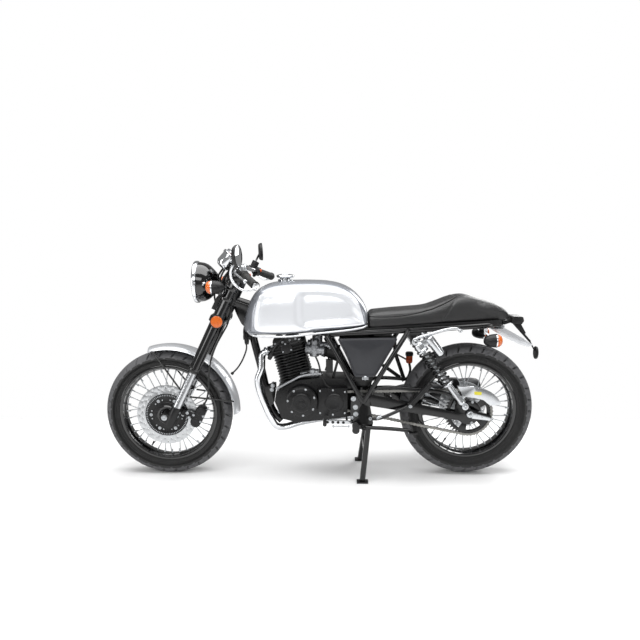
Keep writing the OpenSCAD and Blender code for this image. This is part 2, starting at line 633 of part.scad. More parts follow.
// --- engine ---
tilt = 15;         // how far the cylinder leans forward
bore_foot = pv(-303, 0, 90);
barrel_h = 134;
head_h = 44;
port_h = 25;
fin_r = 16;
module on_cylinder() translate(bore_foot) rotate([0, -tilt, 0]) children();
module crankcase() color("#161617") {
    difference() {
        union() {
            plate([[pivot_x - 404, pivot_z - 8], [pivot_x - 396, pivot_z + 40], [pivot_x - 372,
                pivot_z + 84],
                [pivot_x - 200, pivot_z + 104], [pivot_x - 60, pivot_z + 100], [pivot_x - 32,
                    pivot_z + 70],
                [pivot_x - 32, pivot_z - 72], [pivot_x - 110, pivot_z - 86], [pivot_x - 300,
                    pivot_z - 106],
                [pivot_x - 372, pivot_z - 88]], -crank_half, crank_half);
            pin_y(pv(-278, 0, 6), 72, -140, 130);
            pin_y(pv(-278, 0, 6), 44, -158, 0);
            plate([[pivot_x - 190, pivot_z + 66], [pivot_x - 70, pivot_z + 66], [pivot_x - 70,
                pivot_z - 62],
                [pivot_x - 200, pivot_z - 62]], -124, -80);
            pin_y(pv(-150, 0, -6), 66, 0, 122);
        }
        on_cylinder() translate([-100, -100, -seam]) cube([200, 200, 100]);
        translate([0, sprocket_y + chain_w / 2 + 4, 0]) rotate([90, 0, 0]) linear_extrude(chain_w + 8)
            polygon(tangent_loop([sprocket_front[0], sprocket_front[2]],
                front_sprocket_r + chain_h / 2 + 4,
                [rear_x, rear_z], sprocket_r + chain_h / 2 + 4));
        pin_y([pivot_x, 0, pivot_z], 22 + seam, -100, 100);
        tube(down_path, downtube_r + seam);
    }
    pin_y(sprocket_front, front_sprocket_r - chain_h / 2 - seam, sprocket_y - chain_w / 2 - 6, -64);
}
sprocket_front = pv(-126, 0, 2);
fin_n = 10;
fin_step = 13;
module cylinder_fins() color("#1c1c1d") on_cylinder() {
    cylinder_from(0, barrel_h, 58);
    for (i = [0:fin_n - 1]) translate([0, 0, 8 + i * fin_step]) linear_extrude(3) offset(r = fin_r)
        square([114, 130], center = true);
}
module cylinder_head() color("#1a1a1b") on_cylinder() {
    difference() {
        union() {
            translate([-72, -70, barrel_h + seam]) cube([140, 140, head_h]);
            for (i = [0:2]) translate([0, 0,
                barrel_h + 5 + i * fin_step]) linear_extrude(3) offset(r = fin_r)
                square([126, 134], center = true);
            translate([-60, -56, barrel_h + head_h]) cube([116, 112, 20]);
            translate([-92, -30, barrel_h + port_h]) rotate([0, 90, 0]) cylinder(r = 22, h = 40);
            translate([40, 0, barrel_h + port_h]) rotate([0, 90, 0]) cylinder(r = 22, h = 46);
        }
        translate([-100, -30, barrel_h + port_h]) rotate([0, 90, 0]) cylinder(r = 13, h = 40);
    }
}
module carburettor() color("#a9acae") {
    a = pv(-256, 0, 250);
    rod(a, a + [132, 0, -18], 20);
    rod(a + [44, 0, -36], a + [48, 0, 38], 24);
    rod(a + [102, 0, -14], a + [134, 0, -18], 26);
    rod(a + [10, 0, -1], a + [28, 0, -4], 26);
}
module air_box() color("#111112") {
    plate([[pivot_x - 110, pivot_z + 290], [pivot_x + 140, pivot_z + 290], [pivot_x + 60, pivot_z + 150],
        [pivot_x + 30, pivot_z + 70], [pivot_x - 30, pivot_z + 70], [pivot_x - 48, pivot_z + 150]],
        gap - cover_inner_y, cover_inner_y - gap);
    translate(pv(30, -20, 280)) cube([20, 40, rail_z + 5 - 9 - 280]);
}
// --- exhaust ---
pipe_r = 16;
port_y = -30;
port = bore_foot + [-(92 + seam) * cos(tilt) - (barrel_h + port_h) * sin(tilt), port_y,
    -(92 + seam) * sin(tilt) + (barrel_h + port_h) * cos(tilt)];
header_path = smooth([port, port + [-28, -3, -16], pv(-466, -40, 140), pv(-483, -42, 90), pv(-478, -42,
    42),
    pv(-456, -38, -28), pv(-433, -30, -88), pv(-406, -16, -139), pv(-364, 4, -151), pv(-290, 50, -142),
    pv(-190, 108, -140), pv(-100, 146, -140), pv(-34, 168, -139), pv(26, 188, -106), pv(70, 200, -50)],
        3);
module exhaust_header() color("#c9cbcc") tube(header_path, pipe_r);
muffler_a = pv(71, 200.4, -49);
muffler_b = pv(604, 236, -2);
module muffler() color("#242526") {
    d = muffler_b - muffler_a;
    l = norm(d);
    translate(muffler_a) rotate([0, acos(d[2] / l), atan2(d[1], d[0])]) difference() {
        rotate_extrude() polygon([[0, 6], [pipe_r + 3, 6], [pipe_r + 5, 40], [muffler_r - 4, 120],
            [muffler_r, 150],
            [muffler_r, l - 40], [muffler_r - 8, l - 8], [muffler_r - 16, l], [0, l]]);
        translate([0, 0, l - 60]) cylinder(r = 17, h = 80);
    }
}

// --- tank, cap and seat ---
cover_inner_y = 100;
cover_y = 122;
tank_x = pivot_x - 542;
tank_z = pivot_z + 304;
tank_n = 32;
// Stations along the tank: share of its length, of half its width, and of its height for foot and top
tank_st = [[0, 0.30, 0.10, 0.22], [0.012, 0.46, 0.045, 0.34], [0.05, 0.68, 0.005, 0.60], [0.11, 0.85,
    -0.005, 0.81],
    [0.20, 0.96, 0, 0.93], [0.32, 1, 0, 0.985], [0.44, 0.95, 0.02, 1], [0.56, 0.87, 0.045, 1],
    [0.68, 0.83, 0.075, 0.985], [0.79, 0.81, 0.10, 0.93], [0.88, 0.78, 0.125, 0.82], [0.95, 0.74, 0.15,
        0.66],
    [0.985, 0.69, 0.17, 0.53], [1, 0.62, 0.20, 0.43]];
function power(v, e) = sign(v) * pow(abs(v), e);
function section(x, w, z0, z1, mid, top_e, foot_e, n) = [for (i = [0:n - 1]) let (a = 360 * (i + 0.5) / n,
    zc = z0 + (z1 - z0) * mid) [x, w * power(cos(a), sin(a) > 0 ? top_e : foot_e),
    zc + (sin(a) > 0 ? (z1 - zc) * power(sin(a), top_e) : (zc - z0) * power(sin(a), foot_e))]];
tunnel_w = 80;
function back_line(x) = back_front[2] + (back_rear[2] - back_front[2]) * (x - back_front[0])
    / (back_rear[0] - back_front[0])
    + backbone_r / cos(20) + 6;
cap_x = tank_x + 0.337 * tank_l;
module fuel_tank() color("#b4b6b9") difference() {
    union() {
        skin([for (s = smooth(tank_st, 3)) section(tank_x + s[0] * tank_l, s[1] * tank_w / 2,
            tank_z + s[2] * tank_h,
            tank_z + s[3] * tank_h, 0.42, 0.66, 0.34, tank_n)]);
        translate([cap_x, 0, cap_z - 30]) cylinder(r = 30, h = 30);
        both() translate(pv(-60, rail_y, rail_z + gap - 1 + rail_r)) cylinder(r = 8, h = 26);
    }
    plate([[tank_x - 9, tank_z - 40], [tank_x - 9, back_line(tank_x - 9)], [tank_x + tank_l + 9,
        back_line(tank_x + tank_l + 9)],
        [tank_x + tank_l + 9, tank_z - 40]], -tunnel_w / 2, tunnel_w / 2);
}
cap_z = tank_z + tank_h;
module tank_cap() color("#c9cbcc") translate([cap_x, 0, cap_z]) rotate_extrude()
    polygon([[0, gap], [22, gap], [22, 8], [36, 10], [40, 14], [40, 20], [34, 24], [0, 26]]);
seat_x = tank_x + tank_l + 4;
seat_z = tank_z + 30.2;
seat_st = [[0, 0.88, 0, 70], [0.05, 0.92, 0.5, 74], [0.18, 0.98, 6, 82], [0.30, 1, 12, 88], [0.40,
    0.99, 17, 95],
    [0.48, 0.97, 20, 112], [0.56, 0.94, 22, 133], [0.63, 0.90, 24, 144], [0.69, 0.86, 25, 143], [0.78,
        0.78, 27, 124],
    [0.88, 0.66, 29, 106], [0.95, 0.52, 31, 88], [0.985, 0.38, 33, 70], [1, 0.22, 37, 56]];
module seat() color("#1d1d1e") skin([for (s = smooth(seat_st, 3)) section(seat_x + s[0] * seat_l,
    s[1] * seat_w / 2,
    seat_z + s[2], seat_z + s[3], 0.4, 0.62, 0.3, tank_n)]);

module side_covers() color("#3a3b3e") both() plate([[pivot_x - 104, pivot_z + 284], [pivot_x + 128,
    pivot_z + 286],
    [pivot_x + 60, pivot_z + 150], [pivot_x + 22, pivot_z + 84], [pivot_x - 22, pivot_z + 84],
    [pivot_x - 46, pivot_z + 150]], cover_inner_y, cover_y);
// --- chain ---
function tangent_loop(a, ar, b, br) = let (d = norm(b - a), base = atan2(b[1] - a[1], b[0] - a[0]),
    off = acos((ar - br) / d), n = 24) concat(
    [for (i = [0:n]) let (t = base + off + (360 - 2 * off) * i / n) a + ar * [cos(t), sin(t)]],
    [for (i = [0:n]) let (t = base - off + 2 * off * i / n) b + br * [cos(t), sin(t)]]);
front_sprocket_r = 38;
module chain() color("#6b6c6e") {
    a = [sprocket_front[0], sprocket_front[2]];
    b = [rear_x, rear_z];
    translate([0, sprocket_y + chain_w / 2, 0]) rotate([90, 0, 0]) linear_extrude(chain_w) difference() {
        polygon(tangent_loop(a, front_sprocket_r + chain_h / 2, b, sprocket_r + chain_h / 2));
        polygon(tangent_loop(a, front_sprocket_r - chain_h / 2, b, sprocket_r - chain_h / 2));
    }
}
module chain_guard() color("#c4c6c8") {
    plate(concat([[rear_x - 56, rear_z + 122], [rear_x + 20, rear_z + 120]],
        [for (i = [0:8]) let (a = 76 - 60 * i / 8, r = 121 + 4 * i) [rear_x + r * cos(a),
            rear_z + r * sin(a)]],
        [[rear_x + 136, rear_z + 36], [rear_x + 96, rear_z + 34], [rear_x + 64, rear_z + 60],
            [rear_x + 26, rear_z + 70],
            [rear_x - 28, rear_z + 76]]), guard_y, guard_y + guard_t);
    plate([[rear_x - 56, rear_z + 121.5], [rear_x - 56, rear_z + 124], [rear_x + 20, rear_z + 122],
        [rear_x + 20, rear_z + 119.5]], guard_y, sprocket_y + 12);
    pin_y(ra(-30, 0, 74), 10, -arm_y + 8 + seam, guard_y + 1);
}
// --- tail ---
module rear_fender() color("#b8babc") {
    difference() {
        plate([[rear_x + 92, rear_z + 386], [rear_x + 158, rear_z + 384], [rear_x + 230, rear_z + 346],
            [rear_x + 284, rear_z + 310], [rear_x + 262, rear_z + 302], [rear_x + 220, rear_z + 314],
            [rear_x + 160, rear_z + 342], [rear_x + 100, rear_z + 376]], -62, 62);
        plate([[rear_x + 90, rear_z + 382], [rear_x + 157, rear_z + 380], [rear_x + 228, rear_z + 342],
            [rear_x + 276, rear_z + 309], [rear_x + 240, rear_z + 290], [rear_x + 90, rear_z + 300]],
                -59, 59);
    }
    translate([rear_x + 130, -16, rear_z + 383]) cube([32, 32,
        rail_z + pivot_z + 36 - rail_r - seam - rear_z - 383]);
}
rail_end_x = pivot_x + 634 + rail_r + seam;
module tail_light() color("#202021") {
    plate([[rear_x + 186, rear_z + 408], [rear_x + 232, rear_z + 404], [rear_x + 240, rear_z + 418],
        [rear_x + 236, rear_z + 436], [rear_x + 188, rear_z + 438]], -48, 48);
    both() plate([[rail_end_x, rear_z + 398], [rear_x + 196, rear_z + 410], [rear_x + 196, rear_z + 418],
        [rail_end_x, rear_z + 410]], 12, 18);
    rod(ra(206, 0, 406), ra(288, 0, 316), 5);
    rod(ra(286, 0, 318), ra(tail_reach - 6, 0, 266), 4);
    translate(ra(tail_reach - 10, 0, 265)) rotate([0, 90, 0]) cylinder(r = 30, h = 10);
}
module rear_turn_signals() color("#202021") for (s = [-1, 1]) {
    translate(ra(88, s * 128, 340)) mirror([1, 0, 0]) signal();
    rod(ra(76, s * 112, 350), pv(548, s * 90, 318), 7);
    translate(pv(548, s * 90, 312)) cylinder(r = 8, h = rail_z + 32.4 - rail_r - gap - 312);
}
// --- feet ---
stand_x = pivot_x + 30;
stand_z = pivot_z - 104;
stand_pin_r = 8;
peg_p = pv(-34, 0, -100);
module footpegs() color("#1c1c1d") both() {
    pin_y(peg_p, 10, side_y + 4 + seam, side_y + 20);
    pin_y(peg_p, 15, side_y + 20, side_y + 104);
    tube([pv(30, side_y + 11, -70), pv(84, side_y + 11, -68), pv(214, side_y + 11, -8)], 6.5);
    pin_y(pv(34, 0, -70), 9, side_y + 4 + seam, side_y + 17);
    pin_y(pv(212, 0, -9), 11, side_y + 2, side_y + 30);
    tube([pv(216, side_y + 22, -2), pv(300, side_y + 22, 96)], 10);
}
module foot_controls() {
    color("#c4c6c8") plate([[pivot_x - 178, pivot_z - 76], [pivot_x - 50, pivot_z - 82], [pivot_x - 50,
        pivot_z - 98],
        [pivot_x - 178, pivot_z - 94]], -side_y - 14, -side_y - 6);
    color("#1c1c1d") pin_y(pv(-172, 0, -85), 9, -side_y - 64, -side_y - 6);
    color("#1c1c1d") pin_y(pv(-72, 0, -84), 5, -side_y - 14, -crank_half);
    color("#c4c6c8") plate([[pivot_x - 190, pivot_z - 96], [pivot_x - 50, pivot_z - 82], [pivot_x - 50,
        pivot_z - 98],
        [pivot_x - 190, pivot_z - 112]], side_y + 6, side_y + 14);
    color("#1c1c1d") pin_y(pv(-184, 0, -104), 9, side_y + 6, side_y + 54);
    color("#1c1c1d") pin_y(pv(-72, 0, -84), 5, crank_half, side_y + 14);
}
module rear_caliper() color("#1a1a1b") difference() {
    union() {
        plate([[rear_x - 20, rear_z + 60], [rear_x - 24, rear_z + 128], [rear_x - 84, rear_z + 128],
            [rear_x - 90, rear_z + 60]],
            rear_disc_y - 18, rear_disc_y + 21);
        plate([[rear_x + 14, rear_z - 14], [rear_x + 18, rear_z + 14], [rear_x - 24, rear_z + 100],
            [rear_x - 84, rear_z + 100], [rear_x - 90, rear_z + 60], [rear_x - 14, rear_z - 16]],
            arm_y - arm_w / 2 - 10, arm_y - arm_w / 2 - seam);
    }
    pin_y([rear_x, 0, rear_z], rear_disc_r + 5, rear_disc_y - disc_t / 2 - 3,
        rear_disc_y + disc_t / 2 + 3);
    pin_y([rear_x, 0, rear_z], 60, 0, rear_disc_y + 4);
    pin_y([rear_x, 0, rear_z], rear_axle_r + spacer_t + seam, 0, through);
}
module horn() color("#151516") difference() {
    translate(pv(-517, 0, 284)) rotate([0, -90, 0]) {
        translate([0, 0, 12]) cylinder(r = 38, h = 14);
        cylinder(r = 16, h = 34);
    }
    tube(down_path, downtube_r + seam);
}
// --- stands ---
stand_leg_y = 104;
stand_foot_x = stand_x - 30;
stand_foot_y = 150;
stand_leg_r = 13;
module centre_stand() color("#121213") {
    difference() {
        union() {
            pin_y([stand_x, 0, stand_z], stand_pin_r + 7, -side_y + side_t - 4 + gap,
                side_y - side_t + 4 - gap);
            both() tube([[stand_x, stand_leg_y - 22, stand_z - 4], [stand_foot_x, stand_foot_y, 8]],
                stand_leg_r);
            both() translate([stand_foot_x - 26, stand_foot_y - 16, 0]) cube([52, 40, 8]);
        }
        pin_y([stand_x, 0, stand_z], stand_pin_r + run, -through, through);
    }
    rod([stand_x - 15, -116, 130], [stand_x - 15, 116, 130], 9);
}
side_pin_r = 6;
side_axis = unit([-0.075, 1, -0.15]);   // leans, so that the leg swings outwards as it comes down
side_pin = pv(6, -side_y - 4 - 9.2, -112);
module side_stand() color("#121213") difference() {
    union() {
        rod(side_pin - 6 * side_axis, side_pin + 6 * side_axis, 15);
        tube(smooth([side_pin + [8, -1, 0], side_pin + [120, -5, -5], side_pin + [216, -14, -12]], 3), 9);
        translate(side_pin + [200, -38, -22]) cube([40, 34, 6]);
    }
    rod(side_pin - 30 * side_axis, side_pin + 30 * side_axis, side_pin_r + run);
}
main_frame();
side_frame();
seat_rails();
swingarm();
rear_axle();
crankcase();
cylinder_fins();  // cylinder
cylinder_head();
carburettor();
air_box();
exhaust_header();
muffler();
fuel_tank();
tank_cap();
seat();
side_covers();
rear_shocks();
chain();
chain_guard();
rear_fender();
tail_light();
rear_turn_signals();
footpegs();
foot_controls();
rear_caliper();
horn();
triple_clamps();
fork_tubes();
fork_legs();
front_axle();
handlebars();
grips();
control_levers();
mirrors();
gauges();
headlight();
front_turn_signals();
front_fender();
front_caliper();
front_brake_hose();
front_tyre();
front_rim();
front_spokes();
front_hub();
front_disc();
rear_tyre();
rear_rim();
rear_spokes();
rear_hub();
rear_disc();
rear_sprocket();
centre_stand();
side_stand();
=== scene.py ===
"""Cafe racer motorcycle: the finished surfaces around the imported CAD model.

Lengths in this script are millimetres in the model's own frame until a mesh is made from them.
-X is forward, +Y is the rider's right, +Z is up.
"""
import json
from math import acos, atan2, copysign, cos, hypot, pi, radians, sin

import bmesh
import bpy
from mathutils import Matrix, Vector


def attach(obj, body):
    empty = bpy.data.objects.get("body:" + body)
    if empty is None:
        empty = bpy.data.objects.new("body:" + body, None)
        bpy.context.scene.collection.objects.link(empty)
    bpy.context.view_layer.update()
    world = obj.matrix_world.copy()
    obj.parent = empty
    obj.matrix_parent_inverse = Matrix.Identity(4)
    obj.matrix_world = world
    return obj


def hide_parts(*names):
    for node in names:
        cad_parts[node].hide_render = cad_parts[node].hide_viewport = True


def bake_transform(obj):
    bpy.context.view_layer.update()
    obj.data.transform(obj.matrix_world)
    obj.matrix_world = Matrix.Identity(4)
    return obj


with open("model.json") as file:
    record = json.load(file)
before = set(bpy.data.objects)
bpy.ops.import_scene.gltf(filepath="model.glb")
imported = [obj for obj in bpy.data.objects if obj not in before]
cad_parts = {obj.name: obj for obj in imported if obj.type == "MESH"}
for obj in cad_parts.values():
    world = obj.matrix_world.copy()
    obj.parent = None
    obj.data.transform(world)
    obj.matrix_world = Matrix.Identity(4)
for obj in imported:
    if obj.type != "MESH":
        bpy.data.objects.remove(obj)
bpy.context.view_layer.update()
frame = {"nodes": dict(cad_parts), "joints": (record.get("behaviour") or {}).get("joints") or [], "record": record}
MM = 0.001

record = frame["record"]
body_of = {node: body for body, nodes in record["behaviour"]["bodies"].items() for node in nodes}
joint = {j["name"]: Vector(j["pos_m"]) / MM for j in frame["joints"]}

# ---------------------------------------------------------------- places
FRONT = joint["front_wheel_axle"]
REAR = joint["rear_wheel_axle"]
PIVOT = REAR + Vector((-488, 0, 55))
RAKE, CYLINDER_TILT, GAUGE_TILT = 26, 15, 42  # degrees
LEG_BACK, LEG_Y = -12, 100
CLAMPS_UP = (512, 724)
SIDES = (-1, 1)
HERE = Matrix.Identity(4)


def put(at, axis="Z", degrees=0):
    """Places local zero at a point, turned about one axis."""
    return Matrix.Translation(at) @ Matrix.Rotation(radians(degrees), 4, axis)


# steering frame: X back from the axis, Y to the right, Z up along the axis
STEER = put(joint["steering_head"], "Y", RAKE) @ put((0, 0, -600))
TO_STEER = STEER.inverted()


def steer_at(back, side, up):
    return STEER @ Vector((back, side, up))


def from_pivot(dx, y, dz):
    return Vector((PIVOT.x + dx, y, PIVOT.z + dz))


def from_rear(dx, y, dz):
    return Vector((REAR.x + dx, y, REAR.z + dz))


def along(a, b):
    """Places local Z on the line from a to b, with its start at a."""
    a, b = Vector(a), Vector(b)
    return Matrix.Translation(a) @ (b - a).to_track_quat("Z", "Y").to_matrix().to_4x4()


def wheel_place(centre):
    """Places local Z on an axle: local Z points to the rider's left."""
    return put(centre, "X", 90)


def spots(n, r, first=0):
    """Points spaced evenly on a circle, the first at that angle in degrees."""
    turns = [2 * pi * k / n + radians(first) for k in range(n)]
    return [(r * cos(t), r * sin(t)) for t in turns]


def standing(name, data):
    """A new object of that data, in the scene."""
    thing = bpy.data.objects.new(name, data)
    bpy.context.scene.collection.objects.link(thing)
    return thing


# ---------------------------------------------------------------- camera
camera_data = bpy.data.cameras.new("camera")
camera = standing("camera", camera_data)
camera.location = (0.0703, -2.985, 1.1039)
camera.rotation_euler = (radians(78.43), 0, 0.009)
camera_data.lens = 36.6
camera_data.shift_x = -0.0148
camera_data.shift_y = 0.079
bpy.context.scene.camera = camera


# ---------------------------------------------------------------- materials
def linear(code):
    """sRGB hex to the linear colour that the shader takes."""
    parts = [int(code[i:i + 2], 16) / 255 for i in (1, 3, 5)]
    return tuple(c / 12.92 if c <= 0.04045 else ((c + 0.055) / 1.055) ** 2.4 for c in parts) + (1.0,)


def add(tree, kind, settings=(), inputs=()):
    """Adds a node, with its settings, and its inputs as values or as links from other nodes' outputs."""
    made = tree.nodes.new(kind)
    for name, value in dict(settings).items():
        setattr(made, name, value)
    for name, value in dict(inputs).items():
        if isinstance(value, bpy.types.NodeSocket):
            tree.links.new(value, made.inputs[name])
        else:
            made.inputs[name].default_value = value
    return made


def finish(name, colour, second=None, cloud=60, rough=(0.3, 0.4), bumps=(), mask=None, **fixed):
    """A finish: two close colours in soft clouds, a spread of roughness, and bumps as (pattern, size mm, depth mm).
    mask is (attribute, colour): that colour shows where the piece's own attribute is above zero."""
    material = bpy.data.materials.new(name)
    material.use_nodes = True
    tree = material.node_tree
    shader = tree.nodes["Principled BSDF"]
    place = add(tree, "ShaderNodeTexCoord").outputs["Object"]
    cloud_noise = add(tree, "ShaderNodeTexNoise", inputs={"Vector": place, "Scale": 1 / (cloud * MM), "Detail": 4.0})
    tone = add(tree, "ShaderNodeMix", {"data_type": "RGBA"}, {0: cloud_noise.outputs["Fac"], 6: linear(colour),
                                                              7: linear(second or colour)}).outputs[2]
    if mask:
        edge = add(tree, "ShaderNodeAttribute", {"attribute_name": mask[0]}).outputs["Fac"]
        inside = add(tree, "ShaderNodeMapRange", inputs={"Value": edge, "From Min": -0.8, "From Max": 0.8})
        tone = add(tree, "ShaderNodeMix", {"data_type": "RGBA"}, {0: inside.outputs[0], 6: tone,
                                                                  7: linear(mask[1])}).outputs[2]
    tree.links.new(tone, shader.inputs["Base Color"])
    fine = add(tree, "ShaderNodeTexNoise", inputs={"Vector": place, "Scale": 1 / (cloud * MM / 5), "Detail": 6.0})
    spread = add(tree, "ShaderNodeMapRange", inputs={"Value": fine.outputs["Fac"], "From Min": 0.3, "From Max": 0.7,
                                                     "To Min": rough[0], "To Max": rough[1]})
    tree.links.new(spread.outputs[0], shader.inputs["Roughness"])
    normal = None
    for pattern, size, depth in bumps:
        kinds = {"grain": ("ShaderNodeTexNoise", {}, {"Detail": 3.0}, "Fac"),
                 "pebble": ("ShaderNodeTexVoronoi", {"feature": "DISTANCE_TO_EDGE"}, {}, "Distance"),
                 "pits": ("ShaderNodeTexVoronoi", {}, {}, "Distance")}
        kind, settings, inputs, out = kinds[pattern]
        texture = add(tree, kind, settings, {"Vector": place, "Scale": 1 / (size * MM), **inputs})
        height = texture.outputs[out]
        if pattern == "pebble":
            height = add(tree, "ShaderNodeMapRange", inputs={"Value": height, "From Max": 0.35}).outputs[0]
        raised = add(tree, "ShaderNodeBump", inputs={"Height": height, "Distance": depth * MM, "Strength": 1.0})
        if normal:
            tree.links.new(normal, raised.inputs["Normal"])
        normal = raised.outputs["Normal"]
    if normal:
        tree.links.new(normal, shader.inputs["Normal"])
    for socket, value in fixed.items():
        shader.inputs[socket.replace("_", " ")].default_value = value
    return material


# Silver base coat under clear lacquer: soft metallic glow, sharp reflections over it, darker round the panel
silver_lacquer = finish("silver_lacquer", "#8b8e94", "#8f9298", cloud=400, rough=(0.27, 0.27),
                        mask=("panel", "#eceef2"), Metallic=0.5, Coat_Weight=0.6, Coat_Roughness=0.06)
# The same silver without the darker band, on the fenders
silver_paint = finish("silver_paint", "#c9cbce", "#cdcfd2", cloud=300, rough=(0.28, 0.28),
                      Metallic=0.6, Coat_Weight=0.5, Coat_Roughness=0.08)
# Gloss black enamel on welded tube: deep black with long thin highlights and a faint orange peel
frame_enamel = finish("frame_enamel", "#070708", "#0b0b0c", cloud=90, rough=(0.16, 0.22), bumps=[("grain", 6, 0.01)],
                      Coat_Weight=0.2, Coat_Roughness=0.06, Specular_IOR_Level=0.4)
# Satin black heat paint on cast aluminium: sandy skin, catches light only on its edges
engine_paint = finish("engine_paint", "#0a0a0b", "#111112", cloud=40, rough=(0.26, 0.38),
                      bumps=[("grain", 1.6, 0.06), ("grain", 9, 0.08)], Specular_IOR_Level=0.35)
# Gloss black lacquer on the fork tubes and the lamp's bucket
gloss_lacquer = finish("gloss_lacquer", "#060607", "#0a0a0b", cloud=150, rough=(0.08, 0.13), Coat_Weight=0.6,
                       Coat_Roughness=0.04)
# Chromium plate: mirror with the faintest cloudiness
chrome_plate = finish("chrome_plate", "#e4e6e8", "#dadcdf", cloud=70, rough=(0.11, 0.15), Metallic=1.0)
# Zinc-plated steel: grey, slightly mottled, on axles, bolts and spokes
zinc_plate = finish("zinc_plate", "#b9bcbf", "#a4a7aa", cloud=8, rough=(0.22, 0.36),
                    bumps=[("grain", 2, 0.02)], Metallic=1.0)
# Polished then clear-anodised aluminium: levers, sliders, guards
polished_alloy = finish("polished_alloy", "#cfd1d3", "#c2c4c7", cloud=30, rough=(0.2, 0.28),
                        bumps=[("grain", 5, 0.01)], Metallic=1.0)
# Aluminium as it comes from the die: matt grey with a grainy skin
cast_alloy = finish("cast_alloy", "#a3a5a8", "#8d8f92", cloud=12, rough=(0.36, 0.52), bumps=[("grain", 1.5, 0.12)],
                    Metallic=0.9)
# Ground stainless steel of the brake discs
ground_steel = finish("ground_steel", "#c2c4c6", "#b9bbbd", cloud=25, rough=(0.26, 0.38),
                      bumps=[("grain", 1.2, 0.03)], Metallic=1.0)
# Oiled chain steel, greyish with a worn shine
chain_steel = finish("chain_steel", "#9d9c98", "#6b6a67", cloud=6, rough=(0.28, 0.45), Metallic=0.95)
# High-temperature grey-black paint of the muffler
muffler_paint = finish("muffler_paint", "#242527", "#2e2f31", cloud=60, rough=(0.38, 0.5),
                       bumps=[("grain", 1.4, 0.06)], Metallic=0.3)
# Natural rubber of the tyres: dusty black, finely grained
tyre_rubber = finish("tyre_rubber", "#161616", "#1e1e1e", cloud=35, rough=(0.55, 0.72), bumps=[("grain", 1.5, 0.15)])
# The same rubber painted lighter grey on the tread: a painted highlight where the tread blocks catch the overhead light
tread_painted_highlight = finish("tread_painted_highlight", "#444446", "#565658", cloud=60, rough=(0.6, 0.8), bumps=[("grain", 1.8, 0.25)])
# Moulded control rubber: grips, pegs, gaiters
moulded_rubber = finish("moulded_rubber", "#121212", "#1a1a1a", cloud=20, rough=(0.55, 0.68),
                        bumps=[("pits", 2.2, 0.12)])
# Seat vinyl with a leather grain: pebbles about 2.4 mm wide, drawn a little coarse so that they show
leather = finish("leather", "#0f0f10", "#171718", cloud=45, rough=(0.36, 0.5),
                 bumps=[("pebble", 3.2, 0.28), ("grain", 12, 0.4)], Coat_Weight=0.08, Coat_Roughness=0.35)
# Moulded black ABS: fine even texture
black_abs = finish("black_abs", "#0b0b0c", "#111112", cloud=30, rough=(0.34, 0.46), bumps=[("grain", 0.9, 0.05)],
                   Specular_IOR_Level=0.35)
# Dark grey metallic paint of the side covers
graphite_paint = finish("graphite_paint", "#2b2c30", "#35363a", cloud=90, rough=(0.3, 0.4), Metallic=0.5,
                        Coat_Weight=0.4, Coat_Roughness=0.15)
# Moulded amber lens, and the dark orange prisms of the round reflectors
amber_lens = finish("amber_lens", "#e0641a", "#ea7a2a", cloud=10, rough=(0.1, 0.18), bumps=[("pits", 3, 0.25)],
                    Transmission_Weight=0.25, Coat_Weight=0.5)
red_lens = finish("red_lens", "#8c0f10", "#a01517", cloud=10, rough=(0.1, 0.18), bumps=[("pits", 3, 0.25)],
                  Transmission_Weight=0.2, Coat_Weight=0.5)
# Clear lamp glass over a bright reflector
lamp_glass = finish("lamp_glass", "#f2f5f6", "#eef2f3", cloud=80, rough=(0.02, 0.05), bumps=[("grain", 18, 0.3)],
                    Transmission_Weight=0.85, IOR=1.5)
# Silvered mirror glass and polished lamp reflector
mirror_silver = finish("mirror_silver", "#e9ebec", "#e2e4e6", cloud=120, rough=(0.02, 0.04), Metallic=1.0)
# Printed gauge face, near black, with pale marks
gauge_face = finish("gauge_face", "#0c0c0d", "#111112", cloud=15, rough=(0.45, 0.55))
gauge_marks = finish("gauge_marks", "#e7e4da", "#dcd9cf", cloud=15, rough=(0.4, 0.5))
# Blank adhesive labels
yellow_label = finish("yellow_label", "#d9cf3a", "#cfc534", cloud=12, rough=(0.35, 0.45))
# Orange brake-fluid cup, translucent plastic
orange_cup = finish("orange_cup", "#b8491d", "#c65624", cloud=15, rough=(0.2, 0.3), Subsurface_Weight=0.2)
# Pale studio floor, lightly mottled like painted board
studio_floor = finish("studio_floor", "#f4f4f4", "#efefef", cloud=900, rough=(0.5, 0.6), bumps=[("grain", 60, 0.1)])


# ---------------------------------------------------------------- making meshes
def between(a, b, c, d, t):
    """The value at share t from b to c on a smooth curve that also looks at a and d."""
    return 0.5 * (2 * b + (c - a) * t + (2 * a - 5 * b + 4 * c - d) * t * t + (3 * b - a - 3 * c + d) * t ** 3)


def smooth_rows(rows, steps, mix=lambda a, b, c, d, t: [between(*four, t) for four in zip(a, b, c, d)]):
    """Rows of numbers, with that many pieces between each two on a smooth curve."""
    last = len(rows) - 1
    return [mix(rows[max(i - 1, 0)], rows[i], rows[i + 1], rows[min(i + 2, last)], j / steps)
            for i in range(last) for j in range(steps)] + [rows[-1]]


def smooth_path(points, steps=6):
    """A curve through the points, with that many pieces between each two."""
    return smooth_rows([Vector(p) for p in points], steps, between)


def flat_path(points, steps):
    """The same in X and Z, for outlines."""
    return smooth_path([(x, 0, z) for x, z in points], steps)


LEAST_R = 0.02


